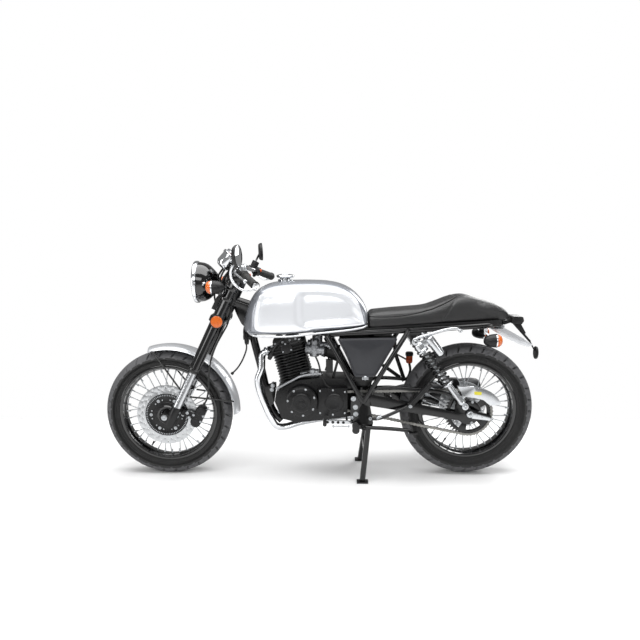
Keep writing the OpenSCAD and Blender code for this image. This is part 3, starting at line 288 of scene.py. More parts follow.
class Shape:
    """Collects the faces of one piece. paint is the index of the finish that the next faces get."""

    def __init__(self, place=None):
        self.points, self.faces, self.paints = [], [], []
        self.paint = 0
        self.place = place or HERE

    def add(self, points, faces):
        base = len(self.points)
        self.points += [self.place @ Vector(p) for p in points]
        self.faces += [[base + i for i in f] for f in faces]
        self.paints += [self.paint] * len(faces)

    def skin(self, rings, capped=True, looped=False):
        """Faces between rings that each have the same number of points."""
        n, m = len(rings[0]), len(rings)
        faces = [[j * n + i, j * n + (i + 1) % n, (j + 1) % m * n + (i + 1) % n, (j + 1) % m * n + i]
                 for j in range(m if looped else m - 1) for i in range(n)]
        if capped and not looped:
            faces += [list(range(n))[::-1], [(m - 1) * n + i for i in range(n)]]
        self.add([p for r in rings for p in r], faces)

    def turned(self, profile, n=48, looped=False):
        """Turns (radius, along) points about local Z."""
        self.skin([[(x, y, z) for x, y in spots(n, max(r, LEAST_R))] for r, z in profile], looped=looped)

    def tube(self, path, r, n=12):
        """A round tube along a path. r is its radius, or one radius for each point."""
        path = [Vector(p) for p in path]
        radii = r if isinstance(r, (list, tuple)) else [r] * len(path)
        heading = [(path[min(i + 1, len(path) - 1)] - path[max(i - 1, 0)]).normalized() for i in range(len(path))]
        across = heading[0].orthogonal().normalized()
        rings = []
        for p, h, size in zip(path, heading, radii):
            across = (across - h * across.dot(h)).normalized()
            other = h.cross(across)
            rings.append([p + size * (u * across + v * other) for u, v in spots(n, 1)])
        self.skin(rings)

    def plate(self, outline, y0, y1):
        """An outline in X and Z, between two Y values."""
        self.skin([[(x, y, z) for x, z in outline] for y in (y0, y1)])

    def block(self, low, high):
        """A box between two corners."""
        (a, b, c), (d, e, f) = low, high
        self.plate([(a, c), (d, c), (d, f), (a, f)], b, e)

    def rod(self, a, b, profile, n=24):
        """Turns (radius, along) points about the line from a to b; a number is a plain round bar's radius."""
        held = self.place
        if not isinstance(profile, (list, tuple)):
            length = (Vector(b) - Vector(a)).length
            edge = min(1.0, profile * 0.2)
            profile = [(profile - edge, 0), (profile, edge), (profile, length - edge), (profile - edge, length)]
        self.place = held @ along(a, b)
        self.turned(profile, n)
        self.place = held

    def bolt(self, at, towards, r, head=None):
        """A cap screw: a round head with a chamfer and a round socket, standing on a washer."""
        head = head or r * 0.9
        at, towards = Vector(at), Vector(towards).normalized()
        self.rod(at - towards * 2, at + towards * head,
                 [(r * 1.35, 0), (r * 1.35, 2 + head * 0.2), (r, 2 + head * 0.2), (r, 2 + head * 0.85),
                  (r * 0.86, 2 + head), (r * 0.5, 2 + head), (r * 0.45, 2 + head * 0.45), (0, 2 + head * 0.4)], 18)


def bevelled(thing, width):
    """Rounds a mesh's sharp edges and leaves it a plain mesh."""
    edge = thing.modifiers.new("edge", "BEVEL")
    edge.width = width * MM
    edge.segments = 2
    edge.limit_method = "ANGLE"
    edge.angle_limit = radians(30)
    edge.use_clamp_overlap = True
    settled(thing)


def settled(thing):
    """Applies a piece's modifiers."""
    bpy.context.view_layer.update()
    result = bpy.data.meshes.new_from_object(thing.evaluated_get(bpy.context.evaluated_depsgraph_get()))
    thing.modifiers.clear()
    old = thing.data
    thing.data = result
    bpy.data.meshes.remove(old)


def shaded(thing, crease):
    """Shades a piece smooth, but for edges sharper than this angle."""
    thing.data.shade_smooth()
    thing.data.set_sharp_from_angle(angle=radians(crease))
    return thing


def handed_in(thing, body, stands_for=()):
    """Rides the piece on its body and hides the CAD nodes that it stands for."""
    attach(thing, body)
    if stands_for:
        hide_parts(*stands_for)
    return thing


def painted(mesh, finishes):
    """Gives a mesh its finish, or its list of them."""
    mesh.materials.clear()
    for material in finishes if isinstance(finishes, list) else [finishes]:
        mesh.materials.append(material)


def mesh_object(name, shape, finishes):
    """An object of the shape, its doubled points merged and its faces turned outward."""
    mesh = bpy.data.meshes.new(name)
    mesh.from_pydata([p * MM for p in shape.points], [], shape.faces)
    painted(mesh, finishes)
    mesh.polygons.foreach_set("material_index", shape.paints)
    bm = bmesh.new()
    bm.from_mesh(mesh)
    bmesh.ops.remove_doubles(bm, verts=bm.verts, dist=0.00002)
    bmesh.ops.recalc_face_normals(bm, faces=bm.faces)
    bm.to_mesh(mesh)
    bm.free()
    return standing(name, mesh)


def piece(name, shape, finishes, like=None, body=None, stands_for=(), soften=0.0, crease=32):
    """A finished piece. like names the CAD node whose body it shares."""
    thing = mesh_object(name, shape, finishes)
    if soften:
        bevelled(thing, soften)
    shaded(thing, crease)
    return handed_in(thing, body or body_of[like], stands_for)


def carried(node, finishes, soften=0.6, crease=30, paint=None):
    """A CAD node's own shape, merged and smooth-shaded, with its sharp edges rounded. paint picks the finish of a
    face from its centre in millimetres."""
    mesh = frame["nodes"][node].data.copy()
    mesh.name = node + "_finished"
    painted(mesh, finishes)
    bm = bmesh.new()
    bm.from_mesh(mesh)
    bmesh.ops.remove_doubles(bm, verts=bm.verts, dist=0.00001)
    bmesh.ops.dissolve_limit(bm, angle_limit=radians(0.6), verts=bm.verts, edges=bm.edges)
    bmesh.ops.triangulate(bm, faces=[f for f in bm.faces if len(f.verts) > 4])
    for face in bm.faces:
        face.material_index = paint(face.calc_center_median() / MM) if paint else 0
    bm.to_mesh(mesh)
    bm.free()
    thing = standing(node + "_finished", mesh)
    if soften:
        bevelled(thing, soften)
    shaded(thing, crease)
    return handed_in(thing, body_of[node], (node,))


# ---------------------------------------------------------------- repeats, by Geometry Nodes
def repeat_tree(name, path):
    """Stands copies of a template round a ring, or along a path's own mesh line, with local X outward or along."""
    tree = bpy.data.node_groups.new(name, "GeometryNodeTree")
    sockets = [("Line", "NodeSocketGeometry"), ("Count", "NodeSocketInt"), ("Radius", "NodeSocketFloat"),
               ("Every", "NodeSocketInt"), ("First", "NodeSocketInt"), ("Template", "NodeSocketObject"),
               ("Finish", "NodeSocketMaterial")]
    for label, kind in sockets:
        tree.interface.new_socket(label, in_out="INPUT", socket_type=kind)
    tree.interface.new_socket("Made", in_out="OUTPUT", socket_type="NodeSocketGeometry")
    given = add(tree, "NodeGroupInput").outputs
    template = add(tree, "GeometryNodeObjectInfo", inputs={"Object": given["Template"]}).outputs["Geometry"]
    if path:
        curve = add(tree, "GeometryNodeMeshToCurve", inputs={"Mesh": given["Line"]}).outputs[0]
        points = add(tree, "GeometryNodeResampleCurve", inputs={"Curve": curve, "Count": given["Count"]}).outputs[0]
        heading = add(tree, "GeometryNodeInputTangent").outputs[0]
    else:
        points = add(tree, "GeometryNodeMeshCircle", inputs={"Vertices": given["Count"],
                                                             "Radius": given["Radius"]}).outputs[0]
        heading = add(tree, "GeometryNodeInputPosition").outputs[0]
    turn = add(tree, "FunctionNodeAlignRotationToVector", {"axis": "X", "pivot_axis": "Z"}, {"Vector": heading})
    index = add(tree, "GeometryNodeInputIndex").outputs[0]
    step = add(tree, "ShaderNodeMath", {"operation": "MODULO"}, {0: index, 1: given["Every"]}).outputs[0]
    chosen = add(tree, "FunctionNodeCompare", {"data_type": "FLOAT", "operation": "EQUAL"},
                 {"A": step, "B": given["First"], "Epsilon": 0.5})
    copies = add(tree, "GeometryNodeInstanceOnPoints", inputs={"Points": points, "Selection": chosen.outputs[0],
                                                               "Instance": template, "Rotation": turn.outputs[0]})
    real = add(tree, "GeometryNodeRealizeInstances", inputs={"Geometry": copies.outputs[0]})
    painted = add(tree, "GeometryNodeSetMaterial", inputs={"Geometry": real.outputs[0], "Material": given["Finish"]})
    add(tree, "NodeGroupOutput", inputs={"Made": painted.outputs[0]})
    return tree


ring_tree = repeat_tree("round_a_ring", False)
path_tree = repeat_tree("along_a_path", True)


def repeated(name, template, count, material, like, place, radius=0.0, line=None, every=1, first=0):
    """Runs the ring tree, or the path tree where a line is given, and keeps the result as a plain mesh."""
    pattern = mesh_object(name + "_template", template, material)
    mesh = bpy.data.meshes.new(name + "_line")
    if line:
        n = len(line)
        mesh.from_pydata([Vector(p) * MM for p in line], [(i, (i + 1) % n) for i in range(n)], [])
    holder = standing(name, mesh)
    tree = path_tree if line else ring_tree
    modifier = holder.modifiers.new("repeat", "NODES")
    modifier.node_group = tree
    values = {"Count": count, "Radius": radius * MM, "Every": every, "First": first, "Template": pattern,
              "Finish": material}
    for item in tree.interface.items_tree:
        if item.in_out == "INPUT" and item.name in values:
            modifier[item.identifier] = values[item.name]
    settled(holder)
    held = place.copy()
    held.translation *= MM
    holder.data.transform(held)
    bpy.data.objects.remove(pattern)
    shaded(holder, 35)
    return handed_in(holder, body_of[like])


# ---------------------------------------------------------------- wheels
RIM_R, FLANGE = 218, 12
# share of each pitch that the two rows of shoulder grooves take, and their slopes in degrees
LONG_CUT, LONG_SLOPE = (0.03, 0.2), (20, 62)
SHORT_CUT, SHORT_SLOPE = (0.53, 0.66), (8, 32)


def tyre(name, centre, radius, width, rim_width, pitches, node):
    """A tyre with slanted shoulder grooves and a zigzag groove round its middle, cut on a grid that follows them."""
    depth, lean = 8.0, 0.018
    middle = RIM_R + (radius - RIM_R) * 0.52
    half = [(RIM_R + 0.3, rim_width / 2 - 0.3, 0), (RIM_R + FLANGE + 0.5, rim_width / 2 + 0.5, 0)]
    for i in range(1, 7):
        a = pi / 2 * i / 7
        half.append((RIM_R + FLANGE + (middle - RIM_R - FLANGE) * sin(a),
                     rim_width / 2 + (width - rim_width) / 2 * (1 - cos(a)), 0))
    half.append((middle - 1.5, width / 2 - 1.6, 0))
    for a in (0, 4, 8, 14, 18, 20, 26, 32, 38, 46, 54, 60, 62, 68, 74, 78, 80, 84, 86, 88, 90):
        s, c = sin(radians(a)), cos(radians(a))
        half.append((middle + (radius - middle) * s, width / 2 * c ** 0.8 if a < 90 else 0, a))
    section = half + [(r, -y, 180 - a if a else 0) for r, y, a in half[-2::-1]]
    cuts = (0, 0.03, 0.2, 0.23, 0.32, 0.42, 0.5, 0.53, 0.66, 0.69, 0.8, 0.9)
    rings = []
    for i in range(pitches):
        for cut in cuts:
            ring = []
            for r, y, a in section:
                slope = min(a, 180 - a)
                long_cut, short_cut = LONG_CUT[0] <= cut <= LONG_CUT[1], SHORT_CUT[0] <= cut <= SHORT_CUT[1]
                if a > 90:
                    long_cut, short_cut = short_cut, long_cut
                turn = (i + cut) / pitches + lean * (90 - slope) / 90
                deep = 0.0
                if LONG_SLOPE[0] <= slope <= LONG_SLOPE[1] and long_cut:
                    deep = depth
                if SHORT_SLOPE[0] <= slope <= SHORT_SLOPE[1] and short_cut:
                    deep = depth * 0.6
                if 78 <= slope <= 80 or (84 < slope <= 86 and cut < 0.5):
                    deep = depth * 0.8
                angle = 2 * pi * turn
                ring.append(((r - deep) * cos(angle), (r - deep) * sin(angle), -y))
            rings.append(ring)
    shape = Shape(wheel_place(centre))
    shape.skin(rings, looped=True)
    # the tread's faces get the lighter rubber as a painted highlight; the shoulder grooves and the sidewalls keep the
    # dark rubber
    for k in range(len(shape.paints)):
        slope, cut = section[k % len(section)][2], cuts[k // len(section) % len(cuts)]
        start, stop = LONG_CUT if slope <= 90 else SHORT_CUT
        grooved = start <= cut < stop
        on_tread = 14 <= slope <= 162
        shape.paints[k] = 1 if on_tread and not (grooved and 20 <= min(slope, 180 - slope) <= 60) else 0
    for s in SIDES:
        shape.turned([(RIM_R + r, s * (width / 2 - inset)) for r, inset in ((24, 10), (25, 5.5), (27, 5), (28, 10))],
                     144, looped=True)
    piece(name, shape, [tyre_rubber, tread_painted_highlight], like=node, stands_for=(node,), crease=38)


tyre("front_tyre_tread", FRONT, 295, 112, 70, 30, "front_tyre")
tyre("rear_tyre_tread", REAR, 309, 132, 88, 32, "rear_tyre")


def rim(name, centre, width, node):
    """A spoked wheel's rim: rolled lips and a deeper well, with a nipple at each spoke."""
    lip, well = width / 2 + 4, width / 5
    outer = [(230, lip), (230, lip - 4), (219, lip - 4.2), (217, well + 9), (209, well)]
    inner = [(205, well), (212, well + 9), (214, lip - 7), (214, lip), (222, lip + 1.5)]
    profile = outer + [(r, -y) for r, y in outer[::-1]] + [(r, -y) for r, y in inner[::-1]] + inner
    loop = [p for i, p in enumerate(profile) if i == 0 or p != profile[i - 1]]
    shape = Shape(wheel_place(centre))
    shape.turned([(r, -y) for r, y in loop], 180, looped=True)
    piece(name, shape, gloss_lacquer, like=node, stands_for=(node,), soften=1.2, crease=40)
    nipple = Shape()
    nipple.rod((0.5, 0, 0), (-17, 0, 0), [(4.4, 0), (4.4, 4), (3.2, 6), (2.9, 17)], 10)
    repeated(name + "_nipples", nipple, 36, zinc_plate, node, wheel_place(centre), radius=205.5)
    valve = Shape()
    inward = Vector((0.5, 0, 0.866))
    valve.rod(centre - inward * 204, centre - inward * 172, [(5, 0), (5, 3), (3, 5), (3, 22), (4.4, 23), (4.4, 31),
                                                             (2.5, 32)], 16)
    piece(name + "_valve", valve, moulded_rubber, like=node)


rim("front_rim_rolled", FRONT, 70, "front_rim")
rim("rear_rim_rolled", REAR, 88, "rear_rim")
for node in ("front_spokes", "rear_spokes"):
    carried(node, zinc_plate, soften=0)


def hub(name, centre, half, flange_y, node):
    """A wheel's hub, alike on both sides: bearing seat, spoke flange and waist."""
    shape = Shape(wheel_place(centre))
    half_profile = [(9.2, -half), (22, -half), (26, -half + 2), (26, -flange_y - 9), (36, -flange_y - 7),
                    (42, -flange_y - 5), (42, -flange_y + 5), (36, -flange_y + 7), (27, -flange_y + 11), (24, -6),
                    (26, -4), (26, -2), (24, -1)]
    shape.turned(half_profile + [(r, -z) for r, z in half_profile[::-1]], 72, looped=True)
    piece(name, shape, engine_paint, like=node, stands_for=(node,), soften=0.8)


hub("front_hub_turned", FRONT, 58, 32, "front_hub")
hub("rear_hub_turned", REAR, 62, 34, "rear_hub")
for node, material, soften in (("front_axle", zinc_plate, 0.8), ("rear_axle", zinc_plate, 0.8),
                               ("front_disc", ground_steel, 0.4), ("rear_disc", ground_steel, 0.4)):
    carried(node, material, soften)

# the front disc's black carrier, with its speed-sensor ring and silver screws
carrier = Shape(wheel_place(FRONT))
carrier.turned([(27, 64.4), (99, 64.4), (101, 65.2), (101, 66.2), (97, 67.4), (88, 67.4), (86, 66.4), (60, 66.4),
                (58, 68.4), (40, 69.4), (27, 69.4)], 120, looped=True)
piece("front_disc_carrier", carrier, engine_paint, like="front_disc", soften=0.3)
# smaller rivets, a raised ring and the bearing cap inside the carrier
centre_ring = Shape(wheel_place(FRONT))
centre_ring.turned([(30, 69), (30, 74), (33, 76), (42, 76), (46, 72), (46, 68)], 72, looped=True)
centre_ring.paint = 1
for x, y in spots(12, 72, 15):
    centre_ring.rod((x, y, 66), (x, y, 68.6), [(3.4, 0), (3.4, 1.6), (2, 2.6), (0, 2.6)], 12)
piece("front_carrier_rivets", centre_ring, [gloss_lacquer, zinc_plate], like="front_disc", soften=0.3)
tooth = Shape()
tooth.block((-3.2, -1.3, -0.8), (3.2, 1.3, 0.9))
screw = Shape()
screw.bolt((0, 0, 0), (0, 0, 1), 5.6, 4)
rivet = Shape()
rivet.rod((0, 0, -1), (0, 0, 2.4), [(5.5, 0), (5.5, 2.2), (4.6, 3.2), (2.4, 3.2), (2.0, 2.6), (0, 2.6)], 14)
for name, template, count, material, y, radius in (("front_sensor_ring", tooth, 72, zinc_plate, -67.4, 93),
                                                   ("front_disc_screws", screw, 6, zinc_plate, -66.4, 74),
                                                   ("front_disc_buttons", rivet, 10, ground_steel, -66, 105)):
    repeated(name, template, count, material, "front_disc", wheel_place(FRONT + Vector((0, y, 0))), radius)

# ---------------------------------------------------------------- chain and sprocket
SPROCKET_Y = -80
SPROCKET_R, DRIVE_R = 106, 38
DRIVE = from_pivot(-126, 0, 2)
TEETH, CHAIN_PITCH = 43, 15.6


def chain_line():
    """The chain's pin line round both sprockets, seen along the axles, as (back, up)."""
    a, b = Vector((DRIVE.x, DRIVE.z)), Vector((REAR.x, REAR.z))
    d = (b - a).length
    base, off = atan2(b.y - a.y, b.x - a.x), acos((DRIVE_R - SPROCKET_R) / d)
    n = 48
    line = []
    for centre, r, start, sweep in ((a, DRIVE_R, base + off, 2 * pi - 2 * off),
                                    (b, SPROCKET_R, base - off, 2 * off)):
        for i in range(n + 1):
            t = start + sweep * i / n
            line.append((centre.x + r * cos(t), centre.y + r * sin(t)))
    return line


upright = put((0, SPROCKET_Y, 0), "X", 90)
line = [(x, z, 0) for x, z in chain_line()]
length = sum((Vector(line[i]) - Vector(line[i - 1])).length for i in range(len(line)))
links = 2 * round(length / CHAIN_PITCH / 2)


def link_plates(gap, thick):
    """A pair of waisted side plates with their rollers or rivet ends."""
    shape = Shape()
    half, r, waist, n = CHAIN_PITCH / 2, 6.6, 4.2, 6
    outline = []
    for centre, start in ((half, -pi / 2), (-half, pi / 2)):
        outline += [(centre + r * cos(start + pi * i / n), r * sin(start + pi * i / n))
                    for i in range(n + 1)]
        outline.append((0, waist if start < 0 else -waist))
    for s in SIDES:
        z0, z1 = sorted((s * gap, s * (gap + thick)))
        shape.skin([[(x, y, z0) for x, y in outline], [(x, y, z1) for x, y in outline]])
        for x in (-half, half):
            shape.rod((x, 0, s * gap), (x, 0, s * (gap + thick + 1.1)),
                      [(2.3, 0), (2.3, thick + 0.6), (1.5, thick + 1.1)], 8)
    return shape


INNER_GAP, OUTER_GAP, PLATE = 3.4, 5.0, 1.4
inner_link = link_plates(INNER_GAP, PLATE)
for s in SIDES:
    x = s * CHAIN_PITCH / 2
    inner_link.rod((x, 0, -INNER_GAP), (x, 0, INNER_GAP), 4.6, 10)
outer_link = link_plates(OUTER_GAP, PLATE)
for first, name, link in ((0, "chain_inner_links", inner_link), (1, "chain_outer_links", outer_link)):
    chain = repeated(name, link, links, chain_steel, "chain", upright, line=line, every=2, first=first)
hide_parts("chain")

sprocket = Shape(wheel_place(REAR + Vector((0, SPROCKET_Y, 0))))
outline = []
for i in range(TEETH):
    for share, r in ((0.0, -6.6), (0.22, -5.2), (0.36, 1.2), (0.44, 4.6), (0.56, 4.6), (0.64, 1.2), (0.78, -5.2)):
        t = 2 * pi * (i + share) / TEETH
        outline.append(((SPROCKET_R + r) * cos(t), (SPROCKET_R + r) * sin(t)))
hole = []
for i in range(TEETH * 7):
    t = 2 * pi * i / (TEETH * 7)
    wave = 84 if cos(5 * t) > -0.55 else 52
    hole.append((wave * cos(t), wave * sin(t)))
rings = [[(x, y, z) for x, y in ring] for ring, z in ((outline, -3.0), (outline, 3.0), (hole, 3.0), (hole, -3.0))]
sprocket.skin(rings, looped=True)
sprocket.turned([(27, -12), (56, -12), (58, -6), (58, 3.6), (50, 5.2), (27, 5.2)], 60, looped=True)
sprocket.turned([(27, -39.5), (52, -39.5), (52, -12), (27, -12)], 60, looped=True)
sprocket.paint = 1
for x, y in spots(5, 50):
    sprocket.bolt((x, y, 4), (0, 0, 1), 5.5, 5)
piece("rear_sprocket_toothed", sprocket, [frame_enamel, zinc_plate], like="rear_sprocket",
      stands_for=("rear_sprocket",), soften=0.3)

# ---------------------------------------------------------------- fork, clamps and brake
carried("fork_tubes", gloss_lacquer, soften=0.6)
carried("triple_clamps", frame_enamel, soften=2.0)
SLIDER_FOOT = 70
carried("fork_legs", [polished_alloy, engine_paint], soften=1.5,
        paint=lambda p: 0 if (TO_STEER @ p).z > SLIDER_FOOT else 1)
fork_trim = Shape(STEER)
for s in SIDES:
    fork_trim.paint = 1
    fork_trim.rod((LEG_BACK, s * LEG_Y, 246), (LEG_BACK, s * LEG_Y, 262),
                  [(21, 0), (25, 2), (27.4, 8), (27.4, 16)], 36)
    fork_trim.paint = 0
    fork_trim.rod((LEG_BACK, s * LEG_Y, 744), (LEG_BACK, s * LEG_Y, 756),
                  [(17, 0), (17, 5), (9, 6), (9, 11), (4, 12)], 6)
    for up in CLAMPS_UP:
        fork_trim.bolt((22, s * (LEG_Y - 30), up), (1, 0, 0), 4.5)
fork_trim.rod((0, 0, 736), (0, 0, 748), [(19, 0), (19, 7), (15, 11), (0, 11)], 6)
fork_trim.bolt((-44, -LEG_Y - 20, 0), (0, -1, 0), 10, 3)
for up in (28, 48):
    fork_trim.bolt((8, -LEG_Y - 8, up), (0.6, -1, 0), 4)
piece("fork_trim", fork_trim, [zinc_plate, moulded_rubber], like="triple_clamps", soften=0.4)

reflectors = Shape(STEER)
for s in SIDES:
    for paint, y, profile in ((0, 124, [(28, 0), (30, 2), (30, 10), (27, 12.5), (25, 12.5)]),
                              (1, 134, [(26, 0), (26, 2.6), (24, 4), (0, 4.6)])):
        reflectors.paint = paint
        reflectors.rod((-6, s * y, CLAMPS_UP[0]), (-6, s * (y + 4), CLAMPS_UP[0]), profile, 48)
piece("fork_reflectors", reflectors, [black_abs, amber_lens], like="triple_clamps", soften=0.4)

carried("front_caliper", engine_paint, soften=2.5)
brake = Shape(STEER)
for b, h in ((92, 92), (92, 36)):
    brake.rod((b, -97, h), (b, -101.5, h), [(19, 0), (19, 2.5), (16, 4.5), (7, 4.5), (6, 3.5), (0, 3.5)], 36)
brake.paint = 1
for b, h, r in ((70, 64, 4.2), (112, 78, 4.2), (112, 48, 4.2), (40, 60, 5.5), (56, 44, 5.0)):
    brake.bolt((b, -98 if b > 60 else -97, h), (0, -1, 0), r, 4)
brake.rod((110, -80, 108), (118, -80, 124), [(3, 0), (3, 6), (5, 7), (5, 11), (2.5, 12), (2.5, 17)], 12)
piece("front_caliper_trim", brake, [engine_paint, zinc_plate], like="front_caliper", soften=0.4)

front_wheel_middle = FRONT + Vector((12, 0, 6))
carried("front_fender", [silver_paint, frame_enamel], soften=0.6, crease=28,
        paint=lambda p: 0 if hypot(p.x - front_wheel_middle.x, p.z - front_wheel_middle.z) > 297 else 1)

# ---------------------------------------------------------------- handlebar and controls
carried("handlebars", chrome_plate, soften=0.4)
BAR_UP, BEND_Y, HALF_BAR = 762, 190, 335


def bar_point(s, share):
    """A point on the straight end of the handlebar, from the bend at 0 to the tip at 1."""
    a = Vector((20, s * BEND_Y, BAR_UP - 4))
    b = Vector((20 + (HALF_BAR - BEND_Y) * 0.53, s * HALF_BAR, BAR_UP - 8))
    return a + (b - a) * share


RIB_PITCH, PEG_PITCH = 5.2, 8.6
grips = Shape(STEER)
ribs = [(18, 0), (21, 1), (21, 6), (18.4, 7)]
for i in range(22):
    z = 9 + RIB_PITCH * i
    ribs += [(16.4, z), (17.2, z + 1), (17.2, z + 3.4), (16.4, z + 4.4)]
ribs += [(17, 126), (19, 128), (19, 133), (16, 134.5), (12, 134.5)]
for s in SIDES:
    grips.rod(bar_point(s, 0.2), bar_point(s, 1.0), ribs, 32)
piece("grips_ribbed", grips, moulded_rubber, like="grips", stands_for=("grips",))
carried("control_levers", [polished_alloy, black_abs], soften=1.2,
        paint=lambda p: int(abs(p.y) < 222 and (TO_STEER @ p).x > -24 + (abs(p.y) - BEND_Y) * 0.5))
controls = Shape(STEER)
for s in SIDES:
    controls.rod(bar_point(s, 0.2), bar_point(s, 0.02), [(17, 0), (21, 2), (21, 24), (17, 26)], 28)
    side = bar_point(s, 0.11) + Vector((16, 0, 10))
    controls.paint = 1
    controls.rod(side, side + Vector((9, 0, 5)), [(7, 0), (7, 6), (5.5, 8), (0, 8)], 20)
    controls.paint = 0
    under = bar_point(s, 0.14) + Vector((0, 0, -16))
    controls.rod(under, under + Vector((-6, 0, -18)), [(8, 0), (8, 10), (5, 16)], 16)
piece("switch_housings", controls, [black_abs, orange_cup], like="handlebars", soften=0.6)

MIRROR_BACK, MIRROR_Y, MIRROR_UP = -10, 415, BAR_UP + 74


def mirror_paint(p):
    """Black on the heads, chrome on the stems."""
    from_middle = (p - steer_at(MIRROR_BACK, copysign(MIRROR_Y, p.y), MIRROR_UP)).length
    return int(abs(p.y) > 370 and (TO_STEER @ p).z > BAR_UP + 30 and 5 < from_middle < 52)


carried("mirrors", [chrome_plate, black_abs], soften=0.8, paint=mirror_paint)
mirror_glass = Shape()
for s in SIDES:
    mirror_glass.place = STEER @ put((MIRROR_BACK, s * MIRROR_Y, MIRROR_UP), "Z", s * 12) @ put((0, 0, 0), "Y", 62)
    mirror_glass.paint = 0
    mirror_glass.turned([(38, -9), (43, -2), (44.5, 6), (44.5, 8.5), (42, 9.2), (41, 8), (0, 8)], 64)
    mirror_glass.paint = 1
    mirror_glass.turned([(41, 7.6), (41, 8.6), (0, 8.7)], 64)
piece("mirror_heads", mirror_glass, [black_abs, mirror_silver], like="mirrors", soften=0.3)

# ---------------------------------------------------------------- gauges and lamps
GAUGE_Y = 46
gauges = Shape()
for s in SIDES:
    gauges.place = put(steer_at(-76, s * GAUGE_Y, 800), "Y", GAUGE_TILT)
    gauges.paint = 0
    gauges.turned([(0, -72), (20, -72), (26, -70), (34, -60), (36.5, -54), (36.5, -14), (40, -12), (40, -1.5), (38, 0),
                   (35.5, -0.5), (35, -5), (0, -5)], 64)
    gauges.paint = 1
    gauges.turned([(35.2, -5.2), (35.2, -4.2), (0, -4.2)], 48)
    gauges.paint = 2
    for i in range(21):
        t = radians(-225 + 270 * i / 20)
        c, d = cos(t), sin(t)
        inner, w = (26, 0.55) if i % 5 else (23, 0.9)
        gauges.skin([[(r * c - side * w * d, r * d + side * w * c, z)
                      for side, z in ((1, -4), (-1, -4), (-1, -3.7), (1, -3.7))] for r in (inner, 32)])
    gauges.paint = 3
    gauges.tube([(-2, 2, -3), (-20, 20, -3)], [1.4, 0.6], 8)
    gauges.turned([(4, -4), (4, -2.6), (3, -2), (0, -2)], 20)
gauges.place = STEER
gauges.paint = 4
gauges.block((-90, -60, 736.2), (-32, 60, 741))
for s in SIDES:
    gauges.rod((-60, s * GAUGE_Y, 740), (-76, s * GAUGE_Y, 752), 9)
piece("gauge_pair", gauges, [chrome_plate, gauge_face, gauge_marks, red_lens, frame_enamel], like="gauges",
      stands_for=("gauges",), crease=35)

LAMP = steer_at(-164, 0, 620)
lamp = Shape(put(LAMP, "Y", 90))
# the bucket, its chromed rim, the reflector and the glass
for paint, looped, profile in (
        (0, False, [(88, -7), (89.5, -3), (89, 8), (86.5, 24), (80, 40), (70, 53), (58, 65), (46, 76), (34, 85),
                    (20, 90.5), (0, 92)]),
        (1, True, [(84, -20), (88, -22), (92, -20), (95, -14), (95, -5), (92, -2), (89.4, -1), (88, -5), (84, -8)]),
        (2, True, [(84.5, -9), (80, 0), (62, 18), (40, 30), (20, 36), (0, 37), (0, 38), (20, 37.2), (41, 31.2),
                   (63, 19.2), (81, 1), (85, -8)]),
        (3, True, [(0, -32.5), (30, -31), (60, -26), (84.5, -16.5), (84.5, -14), (60, -23.5), (30, -28.5),
                   (0, -30)])):
    lamp.paint = paint
    lamp.turned(profile, 96, looped)
lamp.paint = 4
lamp.rod((0, 0, 34), (0, 0, 2), [(9, 0), (9, 8), (6, 10), (6, 26), (4, 31), (0, 32)], 24)
lamp.paint = 1
for a in (-90, 118, 62):
    x, y = cos(radians(a)), sin(radians(a))
    lamp.rod((92.5 * x, 92.5 * y, -8), (97.5 * x, 97.5 * y, -8), 3.2, 12)
for s in SIDES:
    lamp.place = HERE
    lamp.paint = 1
    lamp.bolt(LAMP + Vector((38, s * 97, -4)), (0, s, 0), 6.5, 5)
    lamp.paint = 0
    lamp.rod(LAMP + Vector((38, s * 70, -4)), LAMP + Vector((38, s * 94, -4)), 9)
    lamp.place = STEER @ put((LEG_BACK, s * LEG_Y, 0))
    for low, high in ((612, 628), (662, 678)):
        lamp.turned([(25.2, low), (30, low), (31, low + 3), (31, high - 3), (30, high), (25.2, high)], 40, looped=True)
    lamp.place = STEER
    lamp.plate([(-40, 622), (-36, 668), (-104, 652), (-128, 640), (-128, 618), (-112, 612)],
               s * LEG_Y - 3, s * LEG_Y + 3)
piece("headlight_built", lamp, [gloss_lacquer, chrome_plate, mirror_silver, lamp_glass, black_abs], like="headlight",
      stands_for=("headlight",), soften=0.5, crease=30)


def signal_bodies(name, middles, ahead, stems, node):
    """Bullet-shaped turn signals: a black shell, a bright waist, and an amber lens at the open end. ahead is 1 where
    they face forward and -1 where they face back."""
    shape = Shape()
    for middle in middles:
        shape.place = put(middle, "Y", 90 * ahead)
        shape.paint = 0
        shape.turned([(27, -13), (30, -11), (30, -2), (28.5, 10), (25, 24), (19, 36), (11, 42.5), (0, 44)], 48)
        shape.paint = 1
        shape.turned([(28, -15), (30.4, -14), (30.8, -11), (30.4, -8.5), (28, -8)], 48, looped=True)
        shape.paint = 2
        shape.turned([(28, -12), (28, -18), (26, -26), (21, -33), (13, -37), (0, -38)], 48)
    shape.place = HERE
    shape.paint = 1
    for a, b, r in stems:
        shape.tube([a, b], r, 20)
    piece(name, shape, [black_abs, chrome_plate, amber_lens], like=node, stands_for=(node,), soften=0.3)


SIGNAL_BACK, SIGNAL_UP = -73, 650
signal_bodies("front_signals", [steer_at(SIGNAL_BACK, s * 160, SIGNAL_UP) for s in SIDES], 1,
              [(steer_at(SIGNAL_BACK, s * 103.2, SIGNAL_UP), steer_at(SIGNAL_BACK, s * 140, SIGNAL_UP), 8)
               for s in SIDES],
              "front_turn_signals")
signal_bodies("rear_signals", [from_rear(88, s * 128, 340) for s in SIDES], -1,
              [(from_rear(76, s * 112, 350), from_pivot(548, s * 90, 318), 6) for s in SIDES]
              + [(from_pivot(548, s * 90, 308), from_pivot(548, s * 90, 335), 9) for s in SIDES],
              "rear_turn_signals")

